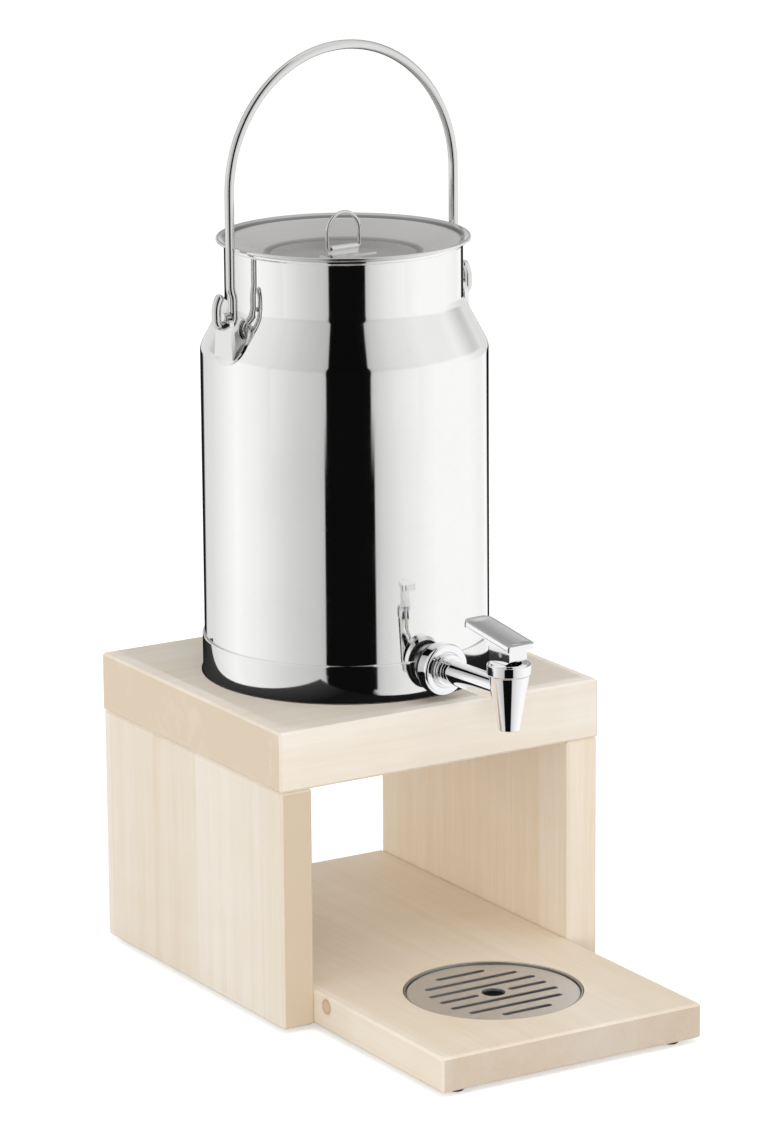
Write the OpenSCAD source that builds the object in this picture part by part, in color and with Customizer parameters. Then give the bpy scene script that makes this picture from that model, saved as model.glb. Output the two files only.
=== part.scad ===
// Milk dispenser: a steel can with a tap on a wooden stand with a drip tray.
// Millimetres. The origin is on the floor under the middle of the whole object, the tap
// points towards -Y, and +Z is up. Heights called _z are measured from the floor.

/* [Stand] */
// Width of the stand
stand_w = 220; // [215:1:260]
// Depth of the top board and the side panels
stand_d = 215; // [200:1:260]
// Height of the top board's upper face above the floor
stand_h = 183; // [150:1:240]
// Thickness of the top board
top_t = 36; // [28:1:45]
// Thickness of the side panels
panel_t = 21; // [18:1:26]
// Thickness of the base shelf
shelf_t = 21; // [20:1:28]
// How far the base shelf reaches in front of the panels
shelf_reach = 140; // [130:1:170]
// How far the panels stand in from the top board's edges
panel_inset = 0.5; // [0:0.1:3]
// Bevel along the edges of the boards
edge_bevel = 1.4; // [0.5:0.1:3]
// Diameter of the hidden dowels
dowel_d = 8; // [6:0.5:10]
// Length of the hidden dowels
dowel_l = 30; // [24:1:34]
// Diameter of the rubber feet
foot_d = 10; // [8:0.5:16]
// Height of the rubber feet
foot_h = 3; // [2:0.5:6]
// Diameter of the peg that holds a foot in its hole
peg_d = 4; // [3:0.5:6]

/* [Can] */
// Diameter of the can's body
can_d = 171.2; // [150:0.2:178]
// Thickness of the steel sheet
sheet_t = 1.2; // [0.8:0.1:2]
// Height of the straight body, up to the corner of the shoulder
body_h = 205.8; // [150:1:260]
// Height of the sloping shoulder
shoulder_h = 28.2; // [20:1:45]
// Diameter of the neck
neck_d = 141.2; // [125:0.2:150]
// Height of the neck, up to the top of its rolled lip
neck_h = 35; // [28:0.2:60]
// Thickness of the rolled lip
lip_d = 2.6; // [2:0.1:6]
// Radius of the bend from body to shoulder
shoulder_r = 12; // [4:1:20]
// Height of the hoop round the can's foot
hoop_h = 31; // [22:1:50]
// Depth of the round recess that the can stands in
recess_depth = 8; // [4:1:12]
// Free space between the hoop and the recess
recess_gap = 1; // [0.5:0.1:3]
// How far the can is turned on the stand
can_turn = 4; // [-10:1:10]

/* [Handle] */
// Thickness of the handle's wire
wire_d = 5.5; // [4:0.1:6]
// Free space between the handle and the can's lip
handle_gap = 2.15; // [2:0.05:6]
// Height of the handle's pivot above the corner of the shoulder
pivot_up = 21.2; // [17:0.1:24]
// Height of the handle's top above its pivot
handle_rise = 157; // [140:1:200]
// Radius of the bends in the hooked ends
bend_r = 4.2; // [3.5:0.1:6]
// Thickness of the ears' lugs
lug_t = 2.8; // [2:0.1:3.2]
// Radius of the ears' rounded tops
lug_r = 7.5; // [6:0.1:10]

/* [Lid] */
// Thickness of the lid's sheet
lid_t = 1; // [0.8:0.1:1.5]
// Thickness of the lid's rolled edge
lid_edge_d = 2.2; // [1.6:0.1:4]
// Depth of the dish below the top of the edge
dish_depth = 10.8; // [7:0.1:14]
// Diameter of the flat floor of the dish
dish_d = 88; // [70:1:100]
// Depth of the plug ring below the dish's edge
plug_h = 18; // [10:1:24]
// Height of the rubber seal on the plug ring
seal_h = 5; // [3:0.5:7]
// Thickness of the lid ring's wire
ring_wire = 2.3; // [2:0.1:3.5]
// Width of the lid ring between its wire centres
ring_w = 23; // [20:0.1:34]
// Height of the lid ring from pivot to the top wire's centre
ring_h = 21.3; // [16:0.1:30]

/* [Tap] */
// Distance from the can's axis to the spout's axis
tap_reach = 162.5; // [150:0.5:180]
// Height of the shank's axis above the can's foot
tap_up = 27.4; // [24:0.2:40]
// Diameter of the shank
shank_d = 14.5; // [13:0.1:16]
// Diameter of the threaded tail that passes through the can
tail_d = 16; // [14:0.5:18]
// Diameter of the waterway
bore_d = 9; // [7:0.5:10]
// Diameter of the socket welded in the can
socket_d = 24; // [22:0.5:28]
// How far the socket's face stands out from the can
socket_out = 2.6; // [2:0.2:6]
// Diameter of the round coupling nut
nut_d = 31; // [28:0.5:36]
// Thickness of the coupling nut
nut_t = 10.4; // [7:0.2:12]
// Thickness of the rubber washers
washer_t = 2.2; // [1.5:0.1:3]
// Diameter of the spout's tip
tip_d = 12.6; // [11.8:0.2:15]
// Diameter of the spout's top, under its collar
spout_d = 24; // [23:0.2:28]
// Height of the spout below the shank's axis
spout_down = 22.3; // [18:0.1:30]
// Height of the collar's top above the shank's axis
collar_up = 17.2; // [15:0.1:22]
// Height of the collar
collar_h = 5.6; // [4:0.1:7]
// Diameter of the valve's spindle
spindle_d = 5; // [4:0.1:5.5]
// Lift of the spindle when the tap is open
lift = 2.5; // [1.5:0.1:3]
// Angle that the lever lifts through
lever_open = 40; // [25:1:42]
// Slope of the closed lever
lever_slope = 9.4; // [5:0.2:14]
// Length of the lever's plate
lever_l = 46; // [40:1:56]
// Width of the lever's plate
lever_w = 19; // [16:0.5:26]
// Thickness of the lever's plate
lever_t = 3.4; // [2.8:0.1:4.5]
// Width of the block under the lever
block_w = 12.6; // [11:0.2:15]
// Length of the block under the lever
block_l = 19.5; // [17:0.5:24]
// Diameter of the lever's pin
pin_d = 3; // [2:0.1:3.2]

/* [Drip tray] */
// Diameter of the round hole in the shelf
tray_hole_d = 106; // [90:1:120]
// Depth of the round hole in the shelf
tray_depth = 14; // [10:1:16]
// Free space round the tray and round its grille
tray_gap = 0.6; // [0.3:0.1:1]
// How far the grille lies below the shelf's face
grille_drop = 1.5; // [0.5:0.1:2.5]
// Thickness of the grille
grille_t = 1.5; // [1:0.1:2]
// Width of the grille's slots
slot_w = 4; // [3:0.1:6]
// Distance from slot to slot
slot_pitch = 12.1; // [9:0.1:16]
// Diameter of the circle that the slots end on
slot_field = 80; // [60:1:90]
// Diameter of the hole in the middle of the grille
grille_hole_d = 14; // [8:0.5:18]

/* [Hidden] */
$fn = 96;

// fits
touch = 0.05;        // gap left between pieces that rest on or turn in each other
foot_gap = 0.02;     // gap left between the can's foot and the recess
over = 1;            // how far a cut runs past the face it opens
weld = 0.4;          // how far a foot's peg laps into the foot
hair = 0.04;         // how much thicker the balls at a wire's bends are than the wire

// places in the whole object
stand_front = (shelf_reach - stand_d) / 2;
stand_back = stand_front + stand_d;
shelf_front = stand_front - shelf_reach;
under_top_z = stand_h - top_t;
panel_in = stand_w / 2 - panel_inset - panel_t;
shelf_top_z = foot_h + shelf_t;
can_y = stand_front + stand_d / 2;
can_z = stand_h - recess_depth;
tray_y = can_y - tap_reach;

// dowels and feet
dowel_end = 40;      // from the ends of a panel to its outer dowels
dowel_y = [dowel_end, stand_d / 2, stand_d - dowel_end];
dowel_room = 1;      // glue room at each end of a dowel
dowel_in_panel = panel_t - 10;
foot_end = 20;       // from the ends of a panel to its feet
shelf_foot_side = 15;
shelf_foot_front = 10;
peg_l = 9;
foot_places = concat(
    [for (side = [-1, 1], y = [stand_front + foot_end, stand_back - foot_end])
        [side * (panel_in + panel_t / 2), y]],
    [for (side = [-1, 1]) [side * (panel_in - shelf_foot_side), shelf_front + shelf_foot_front]]
);

// the can's own outline, as radius and height from the floor
can_r = can_d / 2;
neck_r = neck_d / 2;
corner_z = can_z + body_h;
neck_z = corner_z + shoulder_h;
rim_z = neck_z + neck_h;
shoulder_a = atan((can_r - neck_r) / shoulder_h);
bend_end_r = can_r - shoulder_r * (1 - cos(shoulder_a));
bend_end_z = neck_z - (bend_end_r - neck_r) / tan(shoulder_a);
bend_z = bend_end_z - shoulder_r * sin(shoulder_a);
bend_steps = 6;
lip_r = neck_r - sheet_t + lip_d;
floor_up = 5;        // height of the can's floor above its foot
hoop_r = can_r + sheet_t;

// radius of the shoulder's cone at a height
function cone_r(z) = neck_r + (neck_z - z) * tan(shoulder_a);
// the can's outline from a height up to the rim, moved inwards by d
function can_line(from_z, d) = concat(
    [[can_r - d, from_z]],
    [for (k = [0:bend_steps]) let (a = shoulder_a * k / bend_steps)
        [can_r - shoulder_r + (shoulder_r - d) * cos(a), bend_z + (shoulder_r - d) * sin(a)]],
    [[neck_r - d, neck_z - d * (1 / cos(shoulder_a) - 1) / tan(shoulder_a)], [neck_r - d, rim_z - lip_d / 2]]
);

// the handle and its ears
lid_over = 3.5;      // how far the lid's edge reaches past the can's lip
pad_r = 13.5;
pad_t = 1.2;
pad_drop = 10;       // from the pivot down to the middle of the ear's pad
pivot_z = corner_z + pivot_up;
leg_r = cone_r(pivot_z) + pad_t / cos(shoulder_a) + wire_d / 2 + 0.4;
handle_r = max(lip_r + lid_over + handle_gap + wire_d / 2, leg_r + 0.3);
arch_up = handle_rise - handle_r;
hook_r = leg_r + 2 * bend_r + lug_t + 0.5;
lug_x = (leg_r + hook_r) / 2;
joggle_up = 14;      // from the pivot up to the step in the leg
joggle_r = 12;       // radius of the two bends in that step
joggle_in = handle_r - leg_r;
joggle_a = 2 * atan((sqrt(1 + 4 * joggle_r * joggle_in - joggle_in * joggle_in) - 1) / (4 * joggle_r - joggle_in));
tip_turn = 34;       // how far the hook's tip leans back in, in degrees
tip_turn_r = 13;
tip_up = 9;          // from the pivot up to where the tip starts to lean

// the lid
lid_z = rim_z + touch;
lid_top_z = lid_z + lid_edge_d;
dish_z = lid_top_z - dish_depth;
dish_r = dish_d / 2;
edge_r = lip_r - lid_edge_d / 2 + lid_over;
land_r = neck_r - 0.6;
neck_in_r = neck_r - sheet_t;
plug_r = neck_in_r - 0.9;
slope_top = lid_top_z - 1.7;
under_low = [dish_r + 2, dish_z - lid_t + 0.5];
under_high = [land_r - 1.6, slope_top - lid_t - 1.3];
ring_r = ring_w / 2;
ring_corner = 1.9;
clip_side = 0.2;     // free wire between the clip's tube and the ring's corners
clip_l = ring_w - 2 * ring_corner - 2 * clip_side;
clip_wall = 1.1;
clip_r = ring_wire / 2 + touch + clip_wall;
clip_base_t = 0.8;
clip_base = [35, 14];
clip_z = dish_z + clip_base_t + clip_r;

// the tap, measured from its shank's axis
tap_z = can_z + tap_up;
tail_r = tail_d / 2;
socket_in = can_r - sheet_t - 2;
socket_face = hoop_r + socket_out;
nut_back = socket_face + washer_t;
nut_face = nut_back + nut_t;
shank_collar_d = 19.6;
shank_collar_t = 3.2;
lock_t = 5;
lock_face = socket_in - washer_t;
tail_end = lock_face - lock_t - 2;
tail_room = 0.1;     // thread room, left plain
collar_z = tap_z + collar_up;
tip_z_down = tap_z - spout_down;
chamber_r = 6.4;
seat_up = 14.9;      // from the spout's tip up to the valve's seat
seat_z = tip_z_down + seat_up;
outlet_r = 4.2;
bonnet_in = 9;       // length of the bonnet inside the spout
bonnet_r = spout_d / 2 - 2.5;
bonnet_cap_r = 11.1;
bonnet_cap_t = 0.8;
bonnet_z = collar_z + bonnet_cap_t;
pin_up = 5;          // height of the pin above the block's flat underside
pin_z = bonnet_z + 2 * touch + pin_up;
cam_rate = lift / lever_open * 180 / PI;
cam_steps = 8;
block_front = -(block_l / 2 - 0.9);
block_back = block_front + block_l;
tongue_t = 4;
tongue_r = 3;
tongue_gap = 0.25;
plate_front = block_front - 3.4;
plate_front_z = 7.4; // top of the plate's front edge above the pin
seal_r = 5.6;
seal_t = 3;
spring_wire = 1;
spring_r = 4.4;
spring_turns = 5;
spring_low_z = seat_z + seal_t + 2.2;
spring_high_z = collar_z - bonnet_in;

// the drip tray
tray_hole_r = tray_hole_d / 2;
tray_floor_z = shelf_top_z - tray_depth;
tray_r = tray_hole_r - tray_gap;
tray_wall = 0.9;
grille_r = tray_r - tray_wall - tray_gap;
grille_top_z = shelf_top_z - grille_drop;
grille_low_z = grille_top_z - grille_t;
ledge_w = 3;
slot_max = 73.5;     // longest slot

wood = [0.87, 0.79, 0.67];
steel = [0.80, 0.81, 0.82];
chrome = [0.86, 0.87, 0.89];
rubber = [0.10, 0.10, 0.11];

// A board with all its edges bevelled, its corner at the origin.
module board(size, bevel) {
    intersection() {
        linear_extrude(size[2]) bevelled([size[0], size[1]], bevel);
        translate([size[0], 0, 0]) rotate([0, -90, 0]) linear_extrude(size[0]) bevelled([size[2], size[1]], bevel);
        translate([0, size[1], 0]) rotate([90, 0, 0]) linear_extrude(size[1]) bevelled([size[0], size[2]], bevel);
    }
}

// A rectangle with its corners cut off.
module bevelled(size, b) {
    polygon([
        [b, 0], [size[0] - b, 0], [size[0], b], [size[0], size[1] - b],
        [size[0] - b, size[1]], [b, size[1]], [0, size[1] - b], [0, b]
    ]);
}

// A rectangle from the middle of one side, with the radii of its near and far corners.
module rounded_bar(w, l, near_r, far_r) {
    for (side = [-1, 1]) {
        translate([side * (w / 2 - near_r), near_r]) circle(near_r, $fn = 48);
        translate([side * (w / 2 - far_r), l - far_r]) circle(far_r, $fn = 48);
    }
    translate([-w / 2 + near_r, 0]) square([w - 2 * near_r, near_r]);
    translate([-w / 2, near_r]) square([w, l - near_r - far_r]);
    translate([-w / 2 + far_r, l - far_r]) square([w - 2 * far_r, far_r]);
}

// A round bar along -Y, from one distance to another.
module along(from, to, r) {
    rotate([90, 0, 0]) translate([0, 0, from]) cylinder(r = r, h = to - from);
}

// Carries a piece of the can to its place, turned on the stand.
module at_can() {
    translate([0, can_y, 0]) rotate([0, 0, can_turn]) children();
}

// Carries a piece of the tap to the shank's axis.
module at_tap() {
    at_can() translate([0, 0, tap_z]) children();
}

// Carries a piece of the valve or lever to the spout's axis, heights from the floor.
module at_spout() {
    at_can() translate([0, -tap_reach, 0]) children();
}

// The holes that the vertical dowels fill, in both boards.
module top_dowel_holes() {
    for (side = [-1, 1], y = dowel_y)
        translate([side * (panel_in + panel_t / 2), stand_front + y, under_top_z - dowel_l / 2 - dowel_room])
            cylinder(d = dowel_d, h = dowel_l + 2 * dowel_room);
}

// The holes that the level dowels fill, in the panels and the shelf.
module shelf_dowel_holes() {
    for (side = [-1, 1], y = dowel_y)
        translate([side * (panel_in + dowel_in_panel + dowel_room), stand_front + y, foot_h + shelf_t / 2])
            rotate([0, -side * 90, 0]) cylinder(d = dowel_d, h = dowel_l + 2 * dowel_room);
}

// The holes that the pegs of the feet fill.
module peg_holes() {
    for (p = foot_places) translate([p[0], p[1], foot_h - over]) cylinder(d = peg_d, h = peg_l + 2 * over);
}

module top_board() {
    color(wood) difference() {
        translate([-stand_w / 2, stand_front, under_top_z]) board([stand_w, stand_d, top_t], edge_bevel);
        translate([0, can_y, can_z - foot_gap])
            cylinder(r = hoop_r + recess_gap, h = recess_depth + foot_gap + over, $fn = 128);
        top_dowel_holes();
    }
}

// The side panel on the right.
module panel() {
    color(wood) difference() {
        translate([panel_in, stand_front + panel_inset, foot_h])
            board([panel_t, stand_d - 2 * panel_inset, under_top_z - foot_h], edge_bevel);
        top_dowel_holes();
        shelf_dowel_holes();
        peg_holes();
    }
}

module left_panel() {
    mirror([1, 0, 0]) panel();
}

module right_panel() {
    panel();
}

module base_shelf() {
    color(wood) difference() {
        translate([-panel_in, shelf_front, foot_h])
            board([2 * panel_in, stand_back - panel_inset - shelf_front, shelf_t], edge_bevel);
        translate([0, tray_y, tray_floor_z]) cylinder(r = tray_hole_r, h = tray_depth + over, $fn = 128);
        shelf_dowel_holes();
        peg_holes();
    }
}

module top_dowels() {
    color(wood) for (side = [-1, 1], y = dowel_y)
        translate([side * (panel_in + panel_t / 2), stand_front + y, under_top_z - dowel_l / 2])
            cylinder(d = dowel_d, h = dowel_l);
}

module shelf_dowels() {
    color(wood) for (side = [-1, 1], y = dowel_y)
        translate([side * (panel_in + dowel_in_panel), stand_front + y, foot_h + shelf_t / 2])
            rotate([0, -side * 90, 0]) cylinder(d = dowel_d, h = dowel_l);
}

module feet() {
    color(rubber) for (p = foot_places) translate([p[0], p[1], 0]) {
        rotate_extrude() polygon([
            [0, 0], [foot_d / 2 - 0.8, 0], [foot_d / 2, 0.8], [foot_d / 2, foot_h], [0, foot_h]
        ]);
        translate([0, 0, foot_h - weld]) cylinder(d = peg_d, h = peg_l + weld);
    }
}

// A steel cup with a step inside that carries the grille.
module drip_tray() {
    step_r = grille_r - ledge_w;
    step_z = grille_low_z - touch;
    color(steel) translate([0, tray_y, 0]) rotate_extrude($fn = 128) polygon([
        [0, tray_floor_z], [step_r + tray_wall - 2, tray_floor_z], [step_r + tray_wall, tray_floor_z + 2],
        [step_r + tray_wall, step_z - tray_wall], [tray_r, step_z - tray_wall],
        [tray_r, shelf_top_z - 0.6], [tray_r - tray_wall, shelf_top_z - 0.6],
        [tray_r - tray_wall, step_z], [step_r, step_z],
        [step_r, tray_floor_z + 2 + tray_wall], [step_r - 2, tray_floor_z + tray_wall],
        [0, tray_floor_z + tray_wall]
    ]);
}

// Half the length of a slot at a distance from the middle of the grille.
function slot_half(y) = min(slot_max / 2, sqrt(pow(slot_field / 2, 2) - y * y));

// One slot with round ends, from x0 to x1.
module slot(x0, x1) {
    translate([x0 + slot_w / 2, -slot_w / 2]) square([x1 - x0 - slot_w, slot_w]);
    for (x = [x0 + slot_w / 2, x1 - slot_w / 2]) translate([x, 0]) circle(d = slot_w, $fn = 24);
}

module drip_grille() {
    rows = floor((slot_field / 2 - slot_w / 2 - 1) / slot_pitch);
    bridge = grille_hole_d / 2 + 3.4;
    color(steel) translate([0, tray_y, grille_low_z]) difference() {
        rotate_extrude($fn = 128) polygon([
            [0, 0], [grille_r, 0], [grille_r, grille_t - 0.4], [grille_r - 0.4, grille_t], [0, grille_t]
        ]);
        translate([0, 0, -over]) cylinder(d = grille_hole_d, h = grille_t + 2 * over, $fn = 48);
        for (k = [-rows:rows]) let (y = k * slot_pitch, half = slot_half(y))
            translate([0, y, -over]) linear_extrude(grille_t + 2 * over) {
                if (k == 0) {
                    slot(-half, -bridge);
                    slot(bridge, half);
                } else {
                    slot(-half, half);
                }
            }
    }
}

// The can: one deep drawn shell with a floor, a shoulder, a neck and a rolled lip.
module can_body() {
    floor_z = can_z + floor_up;
    outer = can_line(can_z + sheet_t, 0);
    inner = can_line(floor_z + 6, sheet_t);
    color(steel) difference() {
        at_can() rotate_extrude($fn = 128) {
            polygon(concat(
                [[0, floor_z - sheet_t], [can_r - 6, floor_z - sheet_t], [can_r - sheet_t, can_z + sheet_t]],
                outer,
                [for (k = [len(inner) - 1:-1:0]) inner[k]],
                [[can_r - sheet_t - 2, floor_z + 1], [can_r - sheet_t - 6, floor_z], [0, floor_z]]
            ));
            translate([neck_r - sheet_t + lip_d / 2, rim_z - lip_d / 2]) circle(d = lip_d, $fn = 32);
        }
        at_tap() along(can_r - 10, hoop_r + over, socket_d / 2);
    }
}

module foot_hoop() {
    color(steel) difference() {
        at_can() rotate_extrude($fn = 128) polygon([
            [can_r - sheet_t - 1.5, can_z], [hoop_r - 0.5, can_z], [hoop_r, can_z + 0.5],
            [hoop_r, can_z + hoop_h - 0.6], [hoop_r - 0.6, can_z + hoop_h], [can_r, can_z + hoop_h],
            [can_r, can_z + sheet_t], [can_r - sheet_t - 1.5, can_z + sheet_t]
        ]);
        at_tap() along(can_r - 10, hoop_r + over, socket_d / 2);
    }
}

module tap_socket() {
    color(steel) at_tap() difference() {
        along(socket_in, socket_face, socket_d / 2);
        along(socket_in - over, socket_face + over, tail_r + tail_room);
    }
}

// The solid that the can fills, to seat what is welded on it.
module can_solid() {
    line = can_line(can_z, 0);
    rotate_extrude($fn = 128) polygon(concat([[0, can_z]], line, [[0, rim_z - lip_d / 2]]));
}

// An ear: a round pad that follows the shoulder and a standing lug with the eye.
// side is -1 for the left one and 1 for the right one.
module ear(side) {
    pad_z = pivot_z - pad_drop;
    line = can_line(can_z, -pad_t);
    color(steel) at_can() difference() {
        union() {
            intersection() {
                rotate_extrude($fn = 128) polygon(concat([[0, can_z]], line, [[0, rim_z - lip_d / 2]]));
                translate([0, 0, pad_z]) rotate([0, side * 90, 0]) cylinder(r = pad_r, h = can_r + 10);
                translate([0, 0, pad_z - pad_r - over]) cylinder(r = can_r + 10, h = neck_z - pad_z + pad_r);
            }
            translate([side * lug_x - lug_t / 2, 0, 0]) rotate([90, 0, 90]) linear_extrude(lug_t) {
                translate([0, pivot_z]) circle(lug_r, $fn = 64);
                polygon([
                    [-lug_r, pivot_z], [lug_r, pivot_z], [lug_r + 2, pad_z - 9], [-lug_r - 2, pad_z - 9]
                ]);
            }
            translate([side * lug_x / 2, 0, pad_z - 7]) cube([lug_x, 2 * lug_r, 3], center = true);
        }
        can_solid();
        translate([side * (lug_x - lug_t), 0, pivot_z]) rotate([0, side * 90, 0])
            cylinder(d = wire_d + 3 * touch, h = 3 * lug_t);
    }
}

module left_ear() {
    ear(-1);
}

module right_ear() {
    ear(1);
}

// Half a turn of round wire in the XZ plane, open downwards.
module wire_arch(r, d) {
    rotate([90, 0, 0]) rotate_extrude(angle = 180) translate([r, 0]) circle(d = d, $fn = 32);
}

// A wire that starts up the Z axis and bends in the XZ plane. Each step is a straight length,
// a bend's radius and its turn, positive towards +X. A ball that is a hair thicker than the
// wire sits where a straight length meets a bend, so that the two always join.
module bent_wire(steps, d, k = 0) {
    side = steps[k][2] > 0 ? 1 : -1;
    r = steps[k][1];
    turn = abs(steps[k][2]);
    cylinder(d = d, h = steps[k][0], $fn = 32);
    for (z = [0, steps[k][0]]) translate([0, 0, z]) sphere(d = d + hair, $fn = 32);
    translate([side * r, 0, steps[k][0]]) {
        rotate([90, 0, 0]) rotate([0, 0, side > 0 ? 180 - turn : 0])
            rotate_extrude(angle = turn) translate([r, 0]) circle(d = d, $fn = 32);
        rotate([0, side * turn, 0]) translate([-side * r, 0, 0])
            if (k < len(steps) - 1) bent_wire(steps, d, k + 1);
            else children();
    }
}

// One leg of the handle, on the right: down from the arch, in towards the can, out through
// the eye of the ear, and up again in a hooked end.
module handle_leg() {
    joggle_h = 2 * joggle_r * sin(joggle_a) + cos(joggle_a);
    translate([handle_r, 0, arch_up]) rotate([0, 180, 0]) bent_wire([
        [arch_up - joggle_up - joggle_h, joggle_r, joggle_a],
        [1, joggle_r, -joggle_a],
        [joggle_up - bend_r, bend_r, -90],
        [hook_r - leg_r - 2 * bend_r, bend_r, -90],
        [tip_up - bend_r, tip_turn_r, -tip_turn]
    ], wire_d) sphere(d = wire_d + hair, $fn = 32);
}

module handle() {
    color(chrome) at_can() translate([0, 0, pivot_z]) {
        translate([0, 0, arch_up]) wire_arch(handle_r, wire_d);
        handle_leg();
        mirror([1, 0, 0]) handle_leg();
    }
}

// The lid's pressed dish, with its rolled edge on the can's lip.
module lid_dish() {
    color(steel) at_can() rotate_extrude($fn = 128) {
        translate([edge_r, lid_z + lid_edge_d / 2]) circle(d = lid_edge_d, $fn = 32);
        polygon([
            [0, dish_z - lid_t], [dish_r, dish_z - lid_t], under_low, under_high,
            [land_r, lid_z], [edge_r, lid_z],
            [edge_r, lid_top_z], [land_r + 1.2, slope_top + 0.4], [land_r - 1, slope_top - 0.9],
            [dish_r + 1.2, dish_z + 0.5], [dish_r, dish_z], [0, dish_z]
        ]);
    }
}

// Height of the dish's sloping underside at a radius.
function under_z(r) = under_low[1] + (r - under_low[0]) * (under_high[1] - under_low[1]) / (under_high[0] - under_low[0]);

// The straight ring under the dish that centres the lid in the neck. Its top follows the
// slope that it is welded to.
module lid_plug() {
    weld_r = plug_r - 0.5;
    low_z = lid_z - plug_h;
    groove_z = low_z + 4;
    color(steel) at_can() rotate_extrude($fn = 128) polygon([
        [plug_r - lid_t - 1, low_z], [plug_r - 0.6, low_z], [plug_r, low_z + 0.6], [plug_r, groove_z],
        [plug_r - 0.8, groove_z], [plug_r - 0.8, groove_z + seal_h], [plug_r, groove_z + seal_h],
        [plug_r, under_z(weld_r) - 0.8], [weld_r, under_z(weld_r)],
        [plug_r - lid_t - 1, under_z(plug_r - lid_t - 1)]
    ]);
}

module lid_seal() {
    low_z = lid_z - plug_h + 4;
    out_r = neck_in_r - 2 * touch;
    color(rubber) at_can() rotate_extrude($fn = 128) polygon([
        [plug_r - 0.8, low_z], [plug_r + 0.2, low_z], [out_r, low_z + seal_h * 0.3],
        [out_r, low_z + seal_h * 0.7], [plug_r + 0.2, low_z + seal_h], [plug_r - 0.8, low_z + seal_h]
    ]);
}

// A tube that holds the ring's lower bar, on a base plate spot-welded to the dish.
module lid_clip() {
    color(chrome) at_can() difference() {
        union() {
            translate([0, -clip_base[1] + clip_r, dish_z]) linear_extrude(clip_base_t)
                rounded_bar(clip_base[0], clip_base[1], 3, 3);
            translate([-clip_l / 2, 0, clip_z]) rotate([0, 90, 0]) cylinder(r = clip_r, h = clip_l, $fn = 48);
            translate([-clip_l / 2, 0.3 - clip_r, dish_z]) cube([clip_l, 2 * clip_r - 0.6, clip_base_t + clip_r]);
        }
        translate([-clip_l, 0, clip_z]) rotate([0, 90, 0])
            cylinder(d = ring_wire + 2 * touch, h = 2 * clip_l, $fn = 48);
    }
}

// One side of the lid's ring, on the right: down from the arch and in towards the clip.
module ring_side() {
    translate([ring_r, 0, ring_h - ring_r]) rotate([0, 180, 0])
        bent_wire([[ring_h - ring_r - ring_corner, ring_corner, 90]], ring_wire)
            sphere(d = ring_wire + hair, $fn = 32);
}

module lid_ring() {
    bar = ring_w - 2 * ring_corner;
    color(chrome) at_can() translate([0, 0, clip_z]) {
        translate([0, 0, ring_h - ring_r]) wire_arch(ring_r, ring_wire);
        ring_side();
        mirror([1, 0, 0]) ring_side();
        translate([-bar / 2, 0, 0]) rotate([0, 90, 0]) cylinder(d = ring_wire, h = bar, $fn = 32);
    }
}

module outer_washer() {
    color(rubber) at_tap() difference() {
        along(socket_face, nut_back, socket_d / 2 + 1.4);
        along(socket_face - over, nut_back + over, tail_r + tail_room);
    }
}

// The round nut that draws the tap against the washer, with a rounded front edge.
module coupling_nut() {
    round_r = 2.4;
    nut_r = nut_d / 2;
    color(chrome) at_tap() difference() {
        rotate([90, 0, 0]) rotate_extrude() polygon(concat(
            [[0, nut_back], [nut_r - 2, nut_back], [nut_r, nut_back + 1.6]],
            [for (a = [0:15:90])
                [nut_r - round_r * (1 - cos(a)), nut_face - round_r * (1 - sin(a))]],
            [[shank_collar_d / 2 + 1.2, nut_face], [shank_collar_d / 2 + 0.5, nut_face - 0.9], [0, nut_face - 0.9]]
        ));
        along(nut_back - over, nut_face + over, tail_r + tail_room);
    }
}

// The tap's casting: threaded tail, collar, shank and tapered spout, with the waterway,
// the valve's chamber and seat, and the outlet.
module tap_body() {
    collar_r = spout_d / 2 + 0.9;
    low = -spout_down;
    color(chrome) at_tap() difference() {
        union() {
            along(tail_end, nut_face, tail_r);
            rotate([90, 0, 0]) rotate_extrude() polygon([
                [0, nut_face - 0.9], [shank_collar_d / 2, nut_face - 0.9],
                [shank_collar_d / 2, nut_face + shank_collar_t - 1],
                [shank_collar_d / 2 - 1, nut_face + shank_collar_t], [0, nut_face + shank_collar_t]
            ]);
            along(nut_face, tap_reach - outlet_r, shank_d / 2);
            translate([0, -tap_reach, 0]) rotate_extrude() polygon([
                [0, low], [tip_d / 2 - 0.4, low], [tip_d / 2, low + 0.5],
                [spout_d / 2, collar_up - collar_h - 1], [collar_r, collar_up - collar_h],
                [collar_r, collar_up - 0.5], [collar_r - 0.5, collar_up], [0, collar_up]
            ]);
        }
        along(tail_end - over, tap_reach, bore_d / 2);
        translate([0, -tap_reach, low - over]) cylinder(r = outlet_r, h = seat_up + 2 * over);
        translate([0, -tap_reach, low + seat_up]) cylinder(r = chamber_r, h = spout_down + collar_up);
        translate([0, -tap_reach, collar_up - bonnet_in]) cylinder(r = bonnet_r, h = bonnet_in + over);
    }
}

module inner_washer() {
    color(rubber) at_tap() difference() {
        along(lock_face, socket_in, socket_d / 2);
        along(lock_face - over, socket_in + over, tail_r + tail_room);
    }
}

// The hexagon nut on the tail inside the can.
module lock_nut() {
    color(steel) at_tap() difference() {
        rotate([90, 0, 0]) translate([0, 0, lock_face - lock_t]) cylinder(d = socket_d + 2, h = lock_t, $fn = 6);
        along(lock_face - lock_t - over, lock_face + over, tail_r + tail_room);
    }
}

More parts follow.
